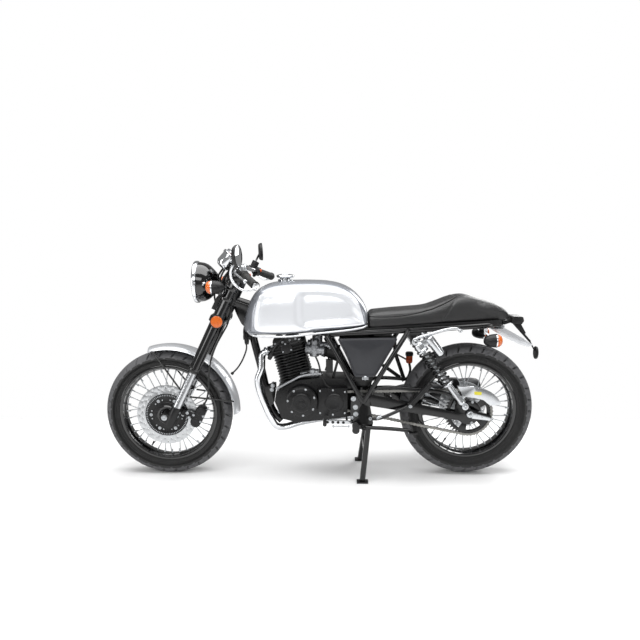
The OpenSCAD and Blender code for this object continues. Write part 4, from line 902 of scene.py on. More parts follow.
# ---------------------------------------------------------------- tank and seat
TANK_X, TANK_Z, TANK_L, TANK_HALF, TANK_H = PIVOT.x - 542, PIVOT.z + 304, 560, 142, 240
# share of the length, of the half width, and of the height for the foot and the top
TANK_STATIONS = [(0, 0.30, 0.10, 0.22), (0.012, 0.46, 0.045, 0.34), (0.05, 0.68, 0.005, 0.60),
                 (0.11, 0.85, -0.005, 0.81), (0.20, 0.96, 0, 0.93), (0.32, 1, 0, 0.985), (0.44, 0.97, 0.02, 1),
                 (0.56, 0.93, 0.045, 1), (0.68, 0.90, 0.075, 0.985), (0.79, 0.87, 0.10, 0.93),
                 (0.88, 0.82, 0.125, 0.82), (0.95, 0.76, 0.15, 0.66), (0.985, 0.70, 0.17, 0.53), (1, 0.62, 0.20, 0.43)]


def signed_power(v, e):
    return copysign(abs(v) ** e, v)


def oval_ring(x, half, low, high, middle, top_e, foot_e, n):
    """A rounded section of a tank or seat: softer above its widest line, squarer below it."""
    zc = low + (high - low) * middle
    ring = []
    for i in range(n):
        a = 2 * pi * (i + 0.5) / n
        up = sin(a) > 0
        y = half * signed_power(cos(a), top_e if up else foot_e)
        z = zc + ((high - zc) * sin(a) ** top_e if up else -(zc - low) * abs(sin(a)) ** foot_e)
        ring.append((x, y, z))
    return ring


def step_up(v, a, b):
    """0 below a, 1 above b, and a soft step between them."""
    t = min(max((v - a) / (b - a), 0), 1)
    return t * t * (3 - 2 * t)


# the inset side panel's outline, in X and Z
PANEL = flat_path([(-293, 722), (-286, 780), (-271, 834), (-250, 862), (-180, 877), (-114, 884), (-20, 888),
                   (60, 883), (122, 866), (164, 833), (187, 779), (196, 740), (186, 722), (56, 712), (-30, 706),
                   (-62, 697), (-147, 693), (-270, 694), (-293, 722)], 6)
PANEL_Y = 40  # the panels start this far from the middle
RECESS, INSET = 13, 2.2  # depth for the knees, and of the whole panel


def inside_panel(x, z):
    """Distance in millimetres inside the panel's outline, below zero outside it."""
    best, crossings = 1e9, 0
    for a, b in zip(PANEL, PANEL[1:]):
        dx, dz = b.x - a.x, b.z - a.z
        t = min(max(((x - a.x) * dx + (z - a.z) * dz) / (dx * dx + dz * dz or 1), 0), 1)
        best = min(best, hypot(x - a.x - t * dx, z - a.z - t * dz))
        if (a.z > z) != (b.z > z) and x < a.x + (z - a.z) * dx / dz:
            crossings += 1
    return best if crossings % 2 else -best


def knee_edge(z):
    """Where the knee recess begins at this height."""
    return -118 + 26 * step_up(760 - z, 0, 70) + 12 * step_up(z, 820, 880)


tank = Shape()
tank.skin([oval_ring(TANK_X + x * TANK_L, half * TANK_HALF, TANK_Z + low * TANK_H, TANK_Z + high * TANK_H,
                     0.42, 0.66, 0.34, 128) for x, half, low, high in smooth_rows(TANK_STATIONS, 9)])
body = mesh_object("fuel_tank_shell", tank, silver_lacquer)
panel_depth = []
for v in body.data.vertices:
    x, y, z = v.co / MM
    deep = inside_panel(x, z)
    panel_depth.append(deep if abs(y) > PANEL_Y else -20.0)
    if abs(y) > PANEL_Y:
        recess = RECESS * step_up(x, knee_edge(z), knee_edge(z) + 52) * step_up(deep, 0, 40) * step_up(z, 640, 700)
        v.co.y -= copysign((recess + INSET * step_up(deep, -2.5, 2.5)) * MM, y)
body.data.attributes.new("panel", "FLOAT", "POINT").data.foreach_set("value", panel_depth)
shaded(body, 50)
handed_in(body, body_of["fuel_tank"], ("fuel_tank",))

tank_trim = Shape()
for s in SIDES:
    lip = [(-326, 48, 722), (-326, 70, 700), (-316, 98, 684), (-290, 122, 675), (-240, 134, 672.5), (-150, 140, 673.5),
           (-90, 137, 678), (-62, 135, 682), (-20, 131, 686), (60, 127, 694), (140, 120, 702), (190, 110, 710),
           (212, 92, 717)]
    tank_trim.tube(smooth_path([(x, s * (y + 1.0), z) for x, y, z in lip]), 4.2, 12)
piece("tank_lip", tank_trim, silver_paint, like="fuel_tank")

cap = Shape(Matrix.Translation((TANK_X + 0.337 * TANK_L, 0, TANK_Z + TANK_H)))
cap.turned([(30, -12), (34, -2), (34, 2), (24, 4), (23, 9), (36, 11), (40.5, 14), (41, 19), (38, 22.5), (28, 25),
            (0, 26)], 72)
cap.paint = 1
for x, y in spots(12, 21):
    cap.rod((x, y, 3.6), (x, y, 10.4), 3.4, 10)
cap.paint = 0
cap.skin([[(-a, -b, z), (a, -b, z), (a, b, z), (-a, b, z)] for a, b, z in ((16, 3, 25), (14, 2.4, 29))])
piece("tank_cap_flip", cap, [chrome_plate, black_abs], like="tank_cap", stands_for=("tank_cap",), soften=0.4)

SEAT_X, SEAT_Z, SEAT_L, SEAT_HALF = TANK_X + TANK_L + 4, TANK_Z + 30.2, 648, 118
# share of the length and of the half width, and the heights of the foot and the top
SEAT_STATIONS = [(0, 0.88, 0, 70), (0.05, 0.92, 0.5, 74), (0.18, 0.98, 6, 82), (0.30, 1, 12, 88),
                 (0.40, 0.99, 17, 95), (0.48, 0.97, 20, 112), (0.56, 0.94, 22, 133), (0.63, 0.90, 24, 144),
                 (0.69, 0.86, 25, 143), (0.78, 0.78, 27, 124), (0.88, 0.66, 29, 106), (0.95, 0.52, 31, 88),
                 (0.985, 0.38, 33, 70), (1, 0.22, 37, 56)]
# seams, in X and Z
PIPING = [(214, 757), (300, 758), (370, 764), (445, 777), (500, 791), (545, 810), (590, 832), (610, 842)]
HUMP_SEAM = [(612, 842), (590, 812), (572, 782), (553, 752), (546, 728)]


def line_at(line, x):
    """Height of a line in X and Z at this X."""
    for (a, b), (c, d) in zip(line, line[1:]):
        if a <= x <= c or c <= x <= a:
            return b + (d - b) * (x - a) / (c - a)


def swelled(thing, furthest):
    """Blows the pad up as a stuffed cover does, and lets no point move further than that."""
    start = [v.co.copy() for v in thing.data.vertices]
    cloth = thing.modifiers.new("stuffing", "CLOTH")
    cloth.settings.use_pressure = True
    cloth.settings.uniform_pressure_force = 4.0
    cloth.settings.effector_weights.gravity = 0.0
    cloth.settings.quality = 4
    scene = bpy.context.scene
    for step in range(1, 21):
        scene.frame_set(step)
    settled(thing)
    scene.frame_set(1)
    for v, rest in zip(thing.data.vertices, start):
        moved = v.co - rest
        if moved.length > furthest * MM:
            v.co = rest + moved.normalized() * furthest * MM


pad = Shape()
pad.skin([oval_ring(SEAT_X + x * SEAT_L, half * SEAT_HALF - 3, SEAT_Z + low + 1, SEAT_Z + high - 3, 0.4, 0.62, 0.3, 64)
          for x, half, low, high in smooth_rows(SEAT_STATIONS, 6)])
seat = mesh_object("seat_pad", pad, leather)
fine = seat.modifiers.new("even", "REMESH")
fine.mode = "VOXEL"
fine.voxel_size = 6 * MM
settled(seat)
swelled(seat, 5)
painted(seat.data, leather)
even = seat.modifiers.new("fine", "SUBSURF")
even.levels = even.render_levels = 1
settled(seat)
for v in seat.data.vertices:
    x, y, z = v.co / MM
    if abs(y) < 18:
        continue
    out = Vector((0, copysign(1, y), 0.35)).normalized()
    seam = line_at(PIPING, x)
    if seam is not None:
        v.co -= out * MM * 3.2 * max(0, 1 - abs(z - seam) / 9)
    if 545 < x < 615 and z < 846:
        best = min(hypot(x - (a + (c - a) * t / 8), z - (b + (d - b) * t / 8))
                   for (a, b), (c, d) in zip(HUMP_SEAM, HUMP_SEAM[1:]) for t in range(9))
        v.co -= out * MM * 2.6 * max(0, 1 - best / 8)
shaded(seat, 80)
handed_in(seat, body_of["seat"], ("seat",))


def on_side(thing, x, z, s):
    """The point of a piece's side at this X and Z."""
    hit, at, normal, _ = thing.ray_cast(Vector((x, s * 300, z)) * MM, Vector((0, -s, 0)))
    return (at / MM, normal) if hit else (None, None)


PIPING_FROM, PIPING_TO, STITCH_TO = 216, 606, 600
seat_trim = Shape()
for s in SIDES:
    points = []
    for i in range(60):
        x = PIPING_FROM + (PIPING_TO - PIPING_FROM) * i / 59
        at, normal = on_side(seat, x, line_at(PIPING, x), s)
        if at:
            points.append(at + normal * 1.4)
    seat_trim.tube(points, 2.6, 8)
piece("seat_piping", seat_trim, leather, like="seat")
STITCH, STITCH_DROP = 2.6, 8
stitches = Shape()
for s in SIDES:
    for i in range(96):
        x = PIPING_FROM + 1 + (STITCH_TO - PIPING_FROM - 1) * i / 95
        at, normal = on_side(seat, x, line_at(PIPING, x) - STITCH_DROP, s)
        ahead, _ = on_side(seat, x + STITCH, line_at(PIPING, min(x + STITCH, 605)) - STITCH_DROP, s)
        if at and ahead:
            stitches.tube([at + normal * 0.5, ahead + normal * 0.5], 0.7, 5)
piece("seat_stitches", stitches, moulded_rubber, like="seat")

# ---------------------------------------------------------------- frame
for node in ("main_frame", "side_frame", "seat_rails", "swingarm", "centre_stand", "side_stand"):
    carried(node, frame_enamel, soften=1.2)
carried("horn", black_abs, soften=1.2)
carried("air_box", black_abs, soften=5)

pan = Shape()
pan.plate([(18, 700), (18, 676), (215, 676), (800, 716), (812, 728), (812, 742), (560, 729), (400, 721), (214, 706)],
          -96, 96)
pan.paint = 1
for s in SIDES:
    pan.tube(smooth_path([(x, s * y, z) for x, y, z in ((414, 116, 657), (450, 120, 671), (481, 121, 680),
                                                        (555, 121, 702), (600, 118, 708), (625, 112, 702))]), 7, 14)
for s in SIDES:
    pan.rod((627, s * 106, 698), (627, s * 118, 698), [(9, 0), (9, 10), (7, 12), (4, 12), (4, 8), (0, 8)], 24)
piece("seat_pan", pan, [black_abs, polished_alloy], like="seat_rails", soften=1.5)

# ---------------------------------------------------------------- engine
CYLINDER = put(from_pivot(-303, 0, 90), "Y", -CYLINDER_TILT)
HEAD_X, HEAD_UP = -2, 158
carried("crankcase", engine_paint, soften=4, crease=35)
carried("cylinder", engine_paint, soften=0.5)
carried("cylinder_head", engine_paint, soften=1.2)
carried("carburettor", cast_alloy, soften=2)

engine = Shape()
# left cover over the alternator, with its screws
cover = from_pivot(-278, 0, 6)
engine.rod((cover.x, -138, cover.z), (cover.x, -146, cover.z), [(66, 0), (68, 1), (68, 4), (60, 8)], 72)
engine.rod((cover.x, -156, cover.z), (cover.x, -164, cover.z),
           [(43, 0), (43, 4), (39, 7), (24, 7), (22, 5), (16, 5), (14, 7.5), (0, 8)], 60)
# sprocket cover with its raised disc
engine.rod((66, -122, 368), (66, -131, 368), [(44, 0), (44, 4), (40, 8), (30, 8), (28, 6), (0, 6)], 48)
engine.plate([(-6, 432), (-6, 312), (60, 306), (122, 312), (124, 428), (60, 436)], -127, -123)
# right cover of the clutch
clutch = from_pivot(-150, 0, -6)
for at, y, profile in ((clutch, 120, [(64, 0), (64, 6), (56, 12), (34, 12), (30, 9), (0, 10)]),
                       (cover, 128, [(70, 0), (70, 4), (58, 9), (30, 9), (28, 6), (0, 6)])):
    engine.rod((at.x, y, at.z), (at.x, y + 10, at.z), profile, 64)
# rocker cover and head sides
engine.place = CYLINDER
for x in (-38, 34):
    engine.rod((x, -50, 192), (x, 50, 192), [(20, 0), (23, 3), (23, 97), (20, 100)], 36)
engine.block((-58, -54, 180), (54, 54, 198))
engine.rod((HEAD_X, -84, HEAD_UP), (HEAD_X, -92, HEAD_UP), [(26, 0), (26, 5), (22, 8), (0, 8)], 40)
engine.rod((HEAD_X, 78, HEAD_UP), (HEAD_X, 90, HEAD_UP), [(26, 0), (26, 8), (22, 12), (0, 12)], 40)
engine.place = HERE
# lower nose, sump plug and front mounts
engine.rod((-110, -60, 268), (-110, 60, 268), 16, 32)
engine.rod((20, 0, 276), (20, 0, 262), [(16, 0), (16, 6), (10, 8), (10, 14)], 6)
piece("engine_covers", engine, engine_paint, like="crankcase", soften=1.2)

screws = Shape()
for x, z in spots(7, 61, 20):
    screws.bolt((cover.x + x, -145, cover.z + z), (0, -1, 0), 4.2, 4)
for x, z in ((2, 424), (2, 322), (60, 428), (60, 314), (114, 420), (114, 322)):
    screws.bolt((x, -126, z), (0, -1, 0), 4.2, 4)
for at, r, y in ((cover, 64, 131), (clutch, 58, 130)):
    for x, z in spots(9, r):
        screws.bolt((at.x + x, y, at.z + z), (0, 1, 0), 4.2, 4)
# engine mounts, in front and behind: X, Z, distance from the middle, radius
for x, z, y, r in ((-222, 425, 23, 7), (-226, 406, 23, 7), (-182, 448, 23, 7), (-190, 300, 23, 7),
                   (153, 389, 129, 8.5), (162, 350, 129, 8.5), (164, 317, 129, 8.5), (148, 300, 129, 6)):
    for s in SIDES:
        screws.bolt((x, s * y, z), (0, s, 0), r, 6)
screws.place = CYLINDER
for x in (-66, 62):
    for y in (-60, 60):
        screws.bolt((x, y, 179), (0, 0, 1), 6, 6)
for x, z in spots(3, 21, 90):
    screws.bolt((HEAD_X + x, -91, HEAD_UP + z), (0, -1, 0), 3.6, 3.5)
for x in (-50, -16, 18, 46):
    for s in SIDES:
        screws.bolt((x, s * 56, 186), (0, s, 0), 4, 4)
piece("engine_screws", screws, zinc_plate, like="crankcase", soften=0)

# starter motor, oil lines and the small parts round the carburettor
fittings = Shape()
fittings.rod((-92, -46, 489), (0, -46, 489), [(20, 0), (24, 4), (24, 66), (21, 70), (21, 86), (17, 90)], 36)
fittings.tube(smooth_path([(-190, -96, 430), (-160, -103, 449), (-120, -106, 470), (-92, -104, 484), (-49, -96, 492),
                           (4, -88, 496)]), 5.5, 14)
for a, b, profile, n in (
        ((-196, -96, 424), (-184, -96, 436), [(9, 0), (9, 12), (7, 15)], 6),
        ((0, -90, 492), (10, -86, 500), [(9, 0), (9, 12)], 6),
        ((-26, -24, 566), (-26, -24, 612), [(20, 0), (22, 4), (22, 30), (25, 33), (25, 46)], 32),
        ((-26, -24, 612), (-26, -24, 652), [(25, 0), (25, 6), (21, 10), (21, 30), (16, 36), (6, 40)], 32),
        ((-70, -24, 600), (20, -24, 590), [(24, 0), (26, 3), (26, 10), (22, 12), (22, 78), (26, 80), (26, 90)], 32)):
    fittings.rod(a, b, profile, n)
fittings.bolt((-40, -46, 588), (0, -1, 0), 4)
fittings.bolt((-12, -46, 588), (0, -1, 0), 4)
fittings.rod((-26, -48, 606), (-26, -56, 606), [(9, 0), (9, 6), (6, 8)], 20)
piece("engine_fittings", fittings, cast_alloy, like="carburettor", soften=0.8)

# intake and air-box rubbers, plug cap and lead, fuel line, breather, clutch and throttle cables to the frame
rubber = Shape()
for a, b, profile, n in (
        ((-100, 0, 606), (-62, 0, 600), [(27, 0), (30, 3), (30, 10), (26, 13), (26, 34), (29, 37)], 36),
        ((16, 0, 590), (90, 0, 575), [(28, 0), (31, 4), (31, 12), (27, 16), (34, 40), (40, 72)], 36),
        ((-232, -58, 560), (-214, -74, 590), [(9, 0), (10, 4), (10, 24), (7, 30), (5, 38)], 20)):
    rubber.rod(a, b, profile, n)
for route, r, n in (([(-216, -72, 586), (-206, -82, 612), (-176, -80, 650), (-140, -60, 676)], 3.8, 10),
                    ([(-30, -46, 640), (-22, -66, 664), (0, -74, 676), (20, -62, 684)], 4.2, 10),
                    ([(-20, -40, 566), (-6, -70, 540), (6, -92, 500), (28, -98, 448), (58, -102, 430)], 4, 10),
                    ([(60, -60, 470), (72, -84, 520), (82, -92, 560), (92, -84, 600)], 6, 12),
                    ([(24, 60, 480), (40, 70, 540), (36, 60, 600), (20, 40, 640)], 5, 12)):
    rubber.tube(smooth_path(route), r, n)
rubber.block((28, -88, 500), (60, -62, 560))
piece("engine_rubber", rubber, moulded_rubber, like="crankcase", soften=0.6)

# ---------------------------------------------------------------- exhaust
PORT = CYLINDER @ Vector((-92.2, -30, 159))
AWAY = PORT + Vector((-28, -3, -16))
pipe = Shape()
bends = [(-466, -40, 140), (-483, -42, 90), (-478, -42, 42), (-456, -38, -28), (-433, -30, -88), (-406, -16, -139),
         (-364, 4, -151), (-290, 50, -142), (-190, 108, -140), (-100, 146, -140), (-34, 168, -139), (26, 188, -106),
         (70, 200, -50)]
pipe.tube(smooth_path([PORT, AWAY] + [from_pivot(*bend) for bend in bends], 8), 16, 32)
away = (AWAY - PORT).normalized()
pipe.rod(PORT + away * 1, PORT + away * 14, [(20, 0), (25, 2), (25, 9), (20, 13)], 36)
pipe.paint = 1
for s in SIDES:
    at = PORT + Vector((0, s * 30, 0))
    pipe.rod(at - away * 8, at + away * 16, [(4, 0), (4, 14), (6.5, 14), (6.5, 20), (4, 21), (4, 24)], 6)
piece("exhaust_pipe", pipe, [chrome_plate, zinc_plate], like="exhaust_header", stands_for=("exhaust_header",),
      crease=40)

MUFFLER_A, MUFFLER_B = from_pivot(71, 200.4, -49), from_pivot(604, 236, -2)
end = (MUFFLER_B - MUFFLER_A).length
can = Shape(along(MUFFLER_A, MUFFLER_B))
can.turned([(17, 2), (22, 6), (22, 30), (26, 44), (41, 112), (45, 140), (46, 150), (46, end - 60), (45, end - 40),
            (40, end - 16), (33, end - 4), (30, end - 1), (19, end - 1), (17.5, end - 4), (17.5, end - 58),
            (0, end - 58)], 72)
can.paint = 1
can.turned([(22.4, 12), (24.6, 13), (24.6, 25), (22.4, 26)], 48, looped=True)
can.turned([(46.2, 250), (47.8, 251), (47.8, 273), (46.2, 274)], 72, looped=True)
can.rod((0, 26, 19), (0, 34, 19), [(5, 0), (5, 8)], 6)
can.turned([(18, end - 3), (22, end + 1), (22, end - 10), (18, end - 12)], 40, looped=True)
piece("muffler_can", can, [muffler_paint, zinc_plate], like="muffler", stands_for=("muffler",), soften=0.6, crease=35)

# ---------------------------------------------------------------- side covers
covers = Shape()
for s in SIDES:
    outline = flat_path([(86, 660), (102, 662), (210, 664), (330, 666), (344, 662), (342, 648), (304, 580), (258, 500),
                         (248, 490), (236, 486)], 4)[:-1]
    outline += flat_path([(236, 486), (170, 486), (158, 490), (152, 500), (120, 580), (86, 648), (84, 656),
                          (86, 660)], 4)[:-1]
    middle = Vector((208, 0, 600))
    covers.skin([[(middle.x + (p.x - middle.x) * share, s * y, middle.z + (p.z - middle.z) * share) for p in outline]
                 for share, y in ((1, 104), (1, 113), (0.985, 116.5), (0.94, 118), (0.9, 116.4), (0.86, 116.2),
                                  (0.4, 119))])
    covers.paint = 1
    covers.plate([(150, 486), (244, 486), (232, 466), (160, 466)], s * 104, s * 112)
    covers.paint = 2
    covers.rod((206, s * 112, 482), (206, s * 121, 482), [(9, 0), (10, 1), (10, 6), (8, 8), (3, 8), (3, 6), (0, 6)], 28)
    covers.plate([(192, 490), (220, 490), (220, 474), (192, 474)], s * 110, s * 114)
    covers.paint = 0
piece("side_panels", covers, [graphite_paint, black_abs, zinc_plate], like="side_covers", stands_for=("side_covers",),
      soften=0.8, crease=40)

# ---------------------------------------------------------------- shocks
shocks = Shape()
TOP_EYE, LOW_EYE, SHOCK_Y = from_pivot(229, 0, 282), from_rear(-28, 0, 41), 134
COIL_TURNS, COIL_TOP, COIL_FOOT = 9, 58, 238
for s in SIDES:
    a, b = Vector((TOP_EYE.x, s * SHOCK_Y, TOP_EYE.z)), Vector((LOW_EYE.x, s * SHOCK_Y, LOW_EYE.z))
    reach = (b - a).length
    down = (b - a).normalized()
    eye = Matrix(((-down.z, 0, down.x, a.x), (0, 1, 0, a.y), (down.x, 0, down.z, a.z), (0, 0, 0, 1)))
    shocks.place = eye
    shocks.paint = 0
    shocks.rod((0, -12, 0), (0, 12, 0), [(7, 0), (15, 0), (17, 2), (17, 22), (15, 24), (7, 24)], 36)
    shocks.turned([(12, 8), (19, 14), (22, 22), (22, 44), (28, 48), (28, 55), (24, 57), (12, 57)], 48)
    shocks.skin([[(0, side * 11, 12), (58, side * 9, 22), (58, side * 9, 42), (6, side * 11, 44)] for side in SIDES])
    shocks.place = eye @ put((56, 0, 0))
    shocks.turned([(0, 20), (14, 20), (19, 24), (20, 30), (20, 112), (18, 117), (12, 120), (0, 120)], 48)
    shocks.paint = 1
    shocks.turned([(18, 117.5), (16, 122), (8, 123), (0, 123)], 32)
    shocks.place = eye
    shocks.paint = 2
    shocks.turned([(8, 54), (8, reach - 56)], 24)
    shocks.paint = 0
    shocks.turned([(15, 180), (15, 232), (24, 236), (28, 240), (28, 246), (22, 250), (15, 252), (15, 254)], 48)
    shocks.turned([(9, 250), (14, 256), (14, reach - 40), (17, reach - 34), (17, reach - 20), (12, reach - 12)], 40)
    shocks.rod((0, -13, reach), (0, 13, reach), [(7, 0), (14, 0), (15, 2), (15, 24), (14, 26), (7, 26)], 36)
    shocks.paint = 3
    coil = spots(28, 23) * COIL_TURNS + spots(28, 23)[:1]
    shocks.tube([(x, y, COIL_TOP + (COIL_FOOT - COIL_TOP) * i / (28 * COIL_TURNS)) for i, (x, y) in enumerate(coil)],
                4.6, 10)
    shocks.place = HERE
    shocks.paint = 0
    for at in (a, b):
        shocks.bolt(at + Vector((0, s * 13, 0)), (0, s, 0), 8, 8)
piece("shock_pair", shocks, [polished_alloy, black_abs, zinc_plate, frame_enamel], like="rear_shocks",
      stands_for=("rear_shocks",), soften=0.5)

# ---------------------------------------------------------------- rear end
carried("rear_fender", silver_paint, soften=2)
carried("rear_caliper", engine_paint, soften=2.5)
carried("chain_guard", polished_alloy, soften=0.6)
tail = Shape()
tail.plate([(870, 725), (874, 720), (916, 718), (925, 732), (921, 749), (916, 752), (876, 753), (871, 748)], -47, 47)
tail.plate([(842, 712), (880, 724), (880, 734), (842, 726)], -19, 19)
tail.paint = 1
tail.plate([(919.5, 722), (926, 733), (922, 749), (914, 751.6), (916, 720)], -44, 44)
tail.paint = 0
tail.tube([from_rear(206, 0, 406), from_rear(246, 0, 362), from_rear(288, 0, 316)], [7, 6, 5], 14)
tail.plate([(888, 722), (920, 720), (948, 672), (942, 668), (896, 706)], -9, 9)
tail.tube([from_rear(286, 0, 318), from_rear(315, 0, 268)], 3.4, 10)
tail.place = put(from_rear(313, 0, 265), "Y", 90)
tail.turned([(0, -1), (27, -1), (30, 1), (30, 7), (28, 9), (26, 9), (26, 8), (0, 8)], 48)
tail.paint = 1
tail.turned([(26, 7), (26, 8.8), (22, 9.8), (0, 10)], 48)
piece("tail_lamp", tail, [black_abs, red_lens], like="tail_light", stands_for=("tail_light",), soften=0.8)

rear_trim = Shape()
rear_trim.plate([(704, 415), (738, 413), (738, 398), (706, 400)], -93.5, -92.3)
rear_trim.paint = 1
for s in SIDES:
    rear_trim.plate([(694, 322), (776, 300), (780, 290), (776, 284), (694, 294)], *sorted((s * 111, s * 116)))
    rear_trim.rod((770, s * 106, 293), (792, s * 106, 288), [(5, 0), (5, 18), (8, 18), (8, 23)], 6)
    for x, z in ((716, 306), (740, 301)):
        rear_trim.bolt((x, s * 115, z), (0, s, 0), 4, 3)
for s, nut in ((-1, [(14, 14), (10, 16), (9, 16), (9, 18)]), (1, [(14, 12), (10, 14)])):
    rear_trim.rod(REAR + Vector((0, s * 112, 0)), REAR + Vector((0, s * 128, 0)), [(16, 0), (16, 3), (14, 3)] + nut, 6)
rear_trim.paint = 2
# fluid cup on the right with its hose, and the struts behind it
rear_trim.tube(smooth_path([(430, 128, 505), (436, 128, 470), (424, 122, 436), (396, 112, 420)]), 6, 12)
rear_trim.rod((430, 128, 541), (430, 128, 560), [(17, 0), (19, 2), (19, 14), (16, 19)], 32)
for route, r, n in (([(352, 92, 640), (358, 92, 560), (402, 98, 436)], 9, 16),
                    ([(300, 100, 500), (384, 100, 440)], 9, 16), ([(352, 110, 560), (414, 126, 524)], 4, 12)):
    rear_trim.tube(route, r, n)
rear_trim.paint = 3
rear_trim.rod((430, 128, 504), (430, 128, 542), [(10, 0), (15, 4), (16, 12), (16, 36), (15, 38)], 32)
piece("rear_trim", rear_trim, [yellow_label, polished_alloy, black_abs, orange_cup], like="chain_guard", soften=0.5)

# ---------------------------------------------------------------- feet and pedals
feet = Shape()
peg = from_pivot(-34, 0, -100)
for s in SIDES:
    rib = [(14, 0)]
    for i in range(9):
        z = PEG_PITCH * i
        rib += [(15, 1 + z), (15, 6 + z), (12.5, 6.8 + z), (12.5, 8.6 + z)]
    rib += [(16.5, 80), (17, 83), (10, 84)]
    feet.paint = 0
    feet.rod((peg.x, s * 145, peg.z), (peg.x, s * 229, peg.z), rib, 24)
    feet.paint = 1
    feet.rod((peg.x, s * 129.5, peg.z), (peg.x, s * 146, peg.z), [(11, 0), (14, 2), (14, 14), (11, 16)], 24)
    # passenger peg, folded up, and its bracket
    feet.paint = 2
    feet.rod((410, s * 146, 364), (497, s * 150, 466), [(7, 0), (12, 6), (12, 116), (15, 119), (15, 131),
                                                        (11, 134)], 20)
    feet.paint = 1
    feet.tube(smooth_path([from_pivot(x, s * 137, z) for x, z in ((30, -70), (84, -68), (214, -8))]), 7.5, 16)
    feet.rod(from_pivot(212, s * 128, -9), from_pivot(212, s * 156, -9), [(12, 0), (14, 3), (14, 25), (12, 28)], 24)
    feet.rod(from_pivot(34, s * 129.6, -70), from_pivot(34, s * 142, -70), 11, 24)
    feet.paint = 3
    feet.bolt(from_pivot(212, s * 156, -9), (0, s, 0), 6, 4)
    feet.bolt(from_pivot(34, s * 142, -70), (0, s, 0), 6, 4)
    feet.rod((258, s * 139, 300), (283, s * 139, 312), [(8, 0), (8, 25)], 18)
piece("pegs_ribbed", feet, [moulded_rubber, frame_enamel, black_abs, zinc_plate], like="footpegs",
      stands_for=("footpegs",), soften=0.6)
carried("foot_controls", [polished_alloy, moulded_rubber], soften=1.2,
        paint=lambda p: 1 if abs(p.y) > 143 or abs(p.y) < 118 else 0)
levers = Shape()
for x in (36, 60, 84, 108):
    z = 282 - (x - 36) * 0.02
    levers.rod((x, -140, z), (x, -142.4, z), [(6.5, 0), (6.5, 1.2), (4, 2.4), (0, 2.4)], 20)
levers.paint = 1
levers.rod((60, -136, 262), (134, -136, 262), 3.2, 12)
for x in (58, 128):
    levers.rod((x, -136, 262), (x + 8, -136, 262), [(5, 0), (6, 1), (6, 7), (5, 8)], 14)
piece("gear_linkage", levers, [black_abs, zinc_plate], like="foot_controls", soften=0.3)

# ---------------------------------------------------------------- hoses and cables held by the machine
# the brake hose is the CAD's own; the cables beside it end in the bundle behind the lamp
carried("front_brake_hose", moulded_rubber, soften=0, crease=60)
cables = Shape()
for route, r in (([(0, -198, 762), (-46, -120, 762), (-60, -60, 700), (-58, -30, 620), (-40, -18, 560)], 3.4),
                 ([(4, 205, 752), (-50, 130, 752), (-78, 60, 692), (-68, 26, 610), (-40, 14, 550)], 3.4),
                 ([(-84, 40, 742), (-90, 20, 690), (-74, 0, 640), (-44, 6, 570)], 4.4),
                 ([(-84, -40, 742), (-96, -26, 680), (-80, -12, 600), (-44, -6, 545)], 4.4),
                 ([(-52, -60, 742), (-64, -66, 690), (-60, -58, 640), (-44, -40, 590), (-42, -30, 540)], 6)):
    cables.tube(smooth_path([steer_at(*p) for p in route]), r, 10)
cables.place = STEER
cables.block((-62, -46, 540), (-42, 46, 600))
cables.rod((92, -86, 114), (92, -86, 136), [(7, 0), (7, 6), (5.6, 8), (5.6, 22)], 16)
cables.rod((-4, 176, 757), (-4, 190, 757), [(5.6, 0), (5.6, 8), (7, 9), (7, 14)], 16)
for x, y, z in ((61, -125, 265), (35, -109, 465)):
    cables.rod((x, y, z), (x - 2, y, z + 10), [(5.4, 0), (5.4, 10.2)], 16)
piece("steering_cables", cables, moulded_rubber, like="triple_clamps", soften=0.3, crease=50)
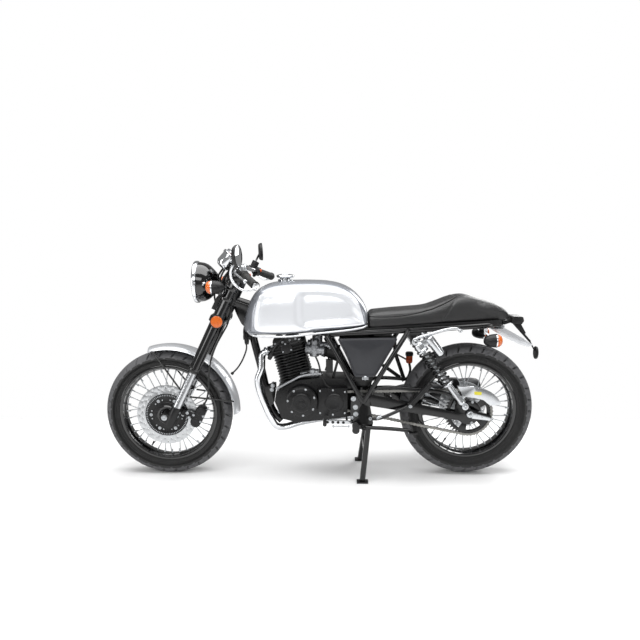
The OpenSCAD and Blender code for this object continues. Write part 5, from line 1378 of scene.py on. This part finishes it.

# the horn's lead hangs in a bow from the head to a clip at the back of the front fender
LEAD_TOP, LEAD_END = Vector((-346, -22, 704)), Vector((-412, -18, 480))
lead_shape = Shape()
lead_shape.tube(smooth_path([LEAD_TOP, (-346, -52, 684), (-342, -60, 655), (-334, -60, 612), (-352, -50, 560),
                             (-380, -34, 514), LEAD_END], 10), 3.6, 10)
lead_shape.rod(LEAD_END + Vector((6, -2, 6)), LEAD_END, [(6, 0), (7, 2), (7, 9)], 14)
lead = shaded(mesh_object("horn_lead", lead_shape, moulded_rubber), 60)
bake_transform(lead)

gussets = Shape()
for s in SIDES:
    gussets.plate([(-398, 800), (-330, 778), (-316, 742), (-322, 704), (-338, 690), (-362, 716), (-384, 762)],
                  s * 13, s * 17)
gussets.block((-338, -30, 700), (-322, 30, 742))
piece("head_gussets", gussets, frame_enamel, like="main_frame", soften=1)

# ---------------------------------------------------------------- floor and light
floor_mesh = Shape()
floor_mesh.block((-9000, -9000, -40), (9000, 900, 0))
floor = mesh_object("floor", floor_mesh, studio_floor)
world = bpy.data.worlds.new("studio")
world.use_nodes = True
# the studio is dim grey to the machine and white behind it
sky = world.node_tree.nodes["Background"]
sky.inputs["Color"].default_value = linear("#ffffff")
seen = add(world.node_tree, "ShaderNodeLightPath").outputs["Is Camera Ray"]
level = add(world.node_tree, "ShaderNodeMapRange", inputs={"Value": seen, "To Min": 0.27, "To Max": 1.0})
world.node_tree.links.new(level.outputs[0], sky.inputs["Strength"])
bpy.context.scene.world = world


def soft_light(name, at, towards, size, power):
    """A rectangular light, in metres and watts."""
    data = bpy.data.lights.new(name, "AREA")
    data.shape = "RECTANGLE"
    data.size, data.size_y = size
    data.energy = power
    light = standing(name, data)
    light.location = at
    light.rotation_euler = (Vector(towards) - Vector(at)).to_track_quat("-Z", "Y").to_euler()


soft_light("overhead", (0, -0.2, 3.0), (0, 0, 0.4), (4.4, 2.8), 165)
soft_light("left_strip", (-0.8, -3.3, 2.2), (-0.1, 0, 0.5), (3.4, 1.0), 44)
soft_light("front_strip", (-3.4, -1.8, 1.0), (0, 0, 0.5), (0.6, 1.8), 26)
soft_light("tail_strip", (3.2, -2.2, 1.2), (0.2, 0, 0.5), (0.5, 1.6), 18)
soft_light("right_back", (2.4, 2.6, 2.0), (0, 0, 0.5), (2.0, 1.8), 55)
bpy.context.scene.view_settings.view_transform = "Standard"
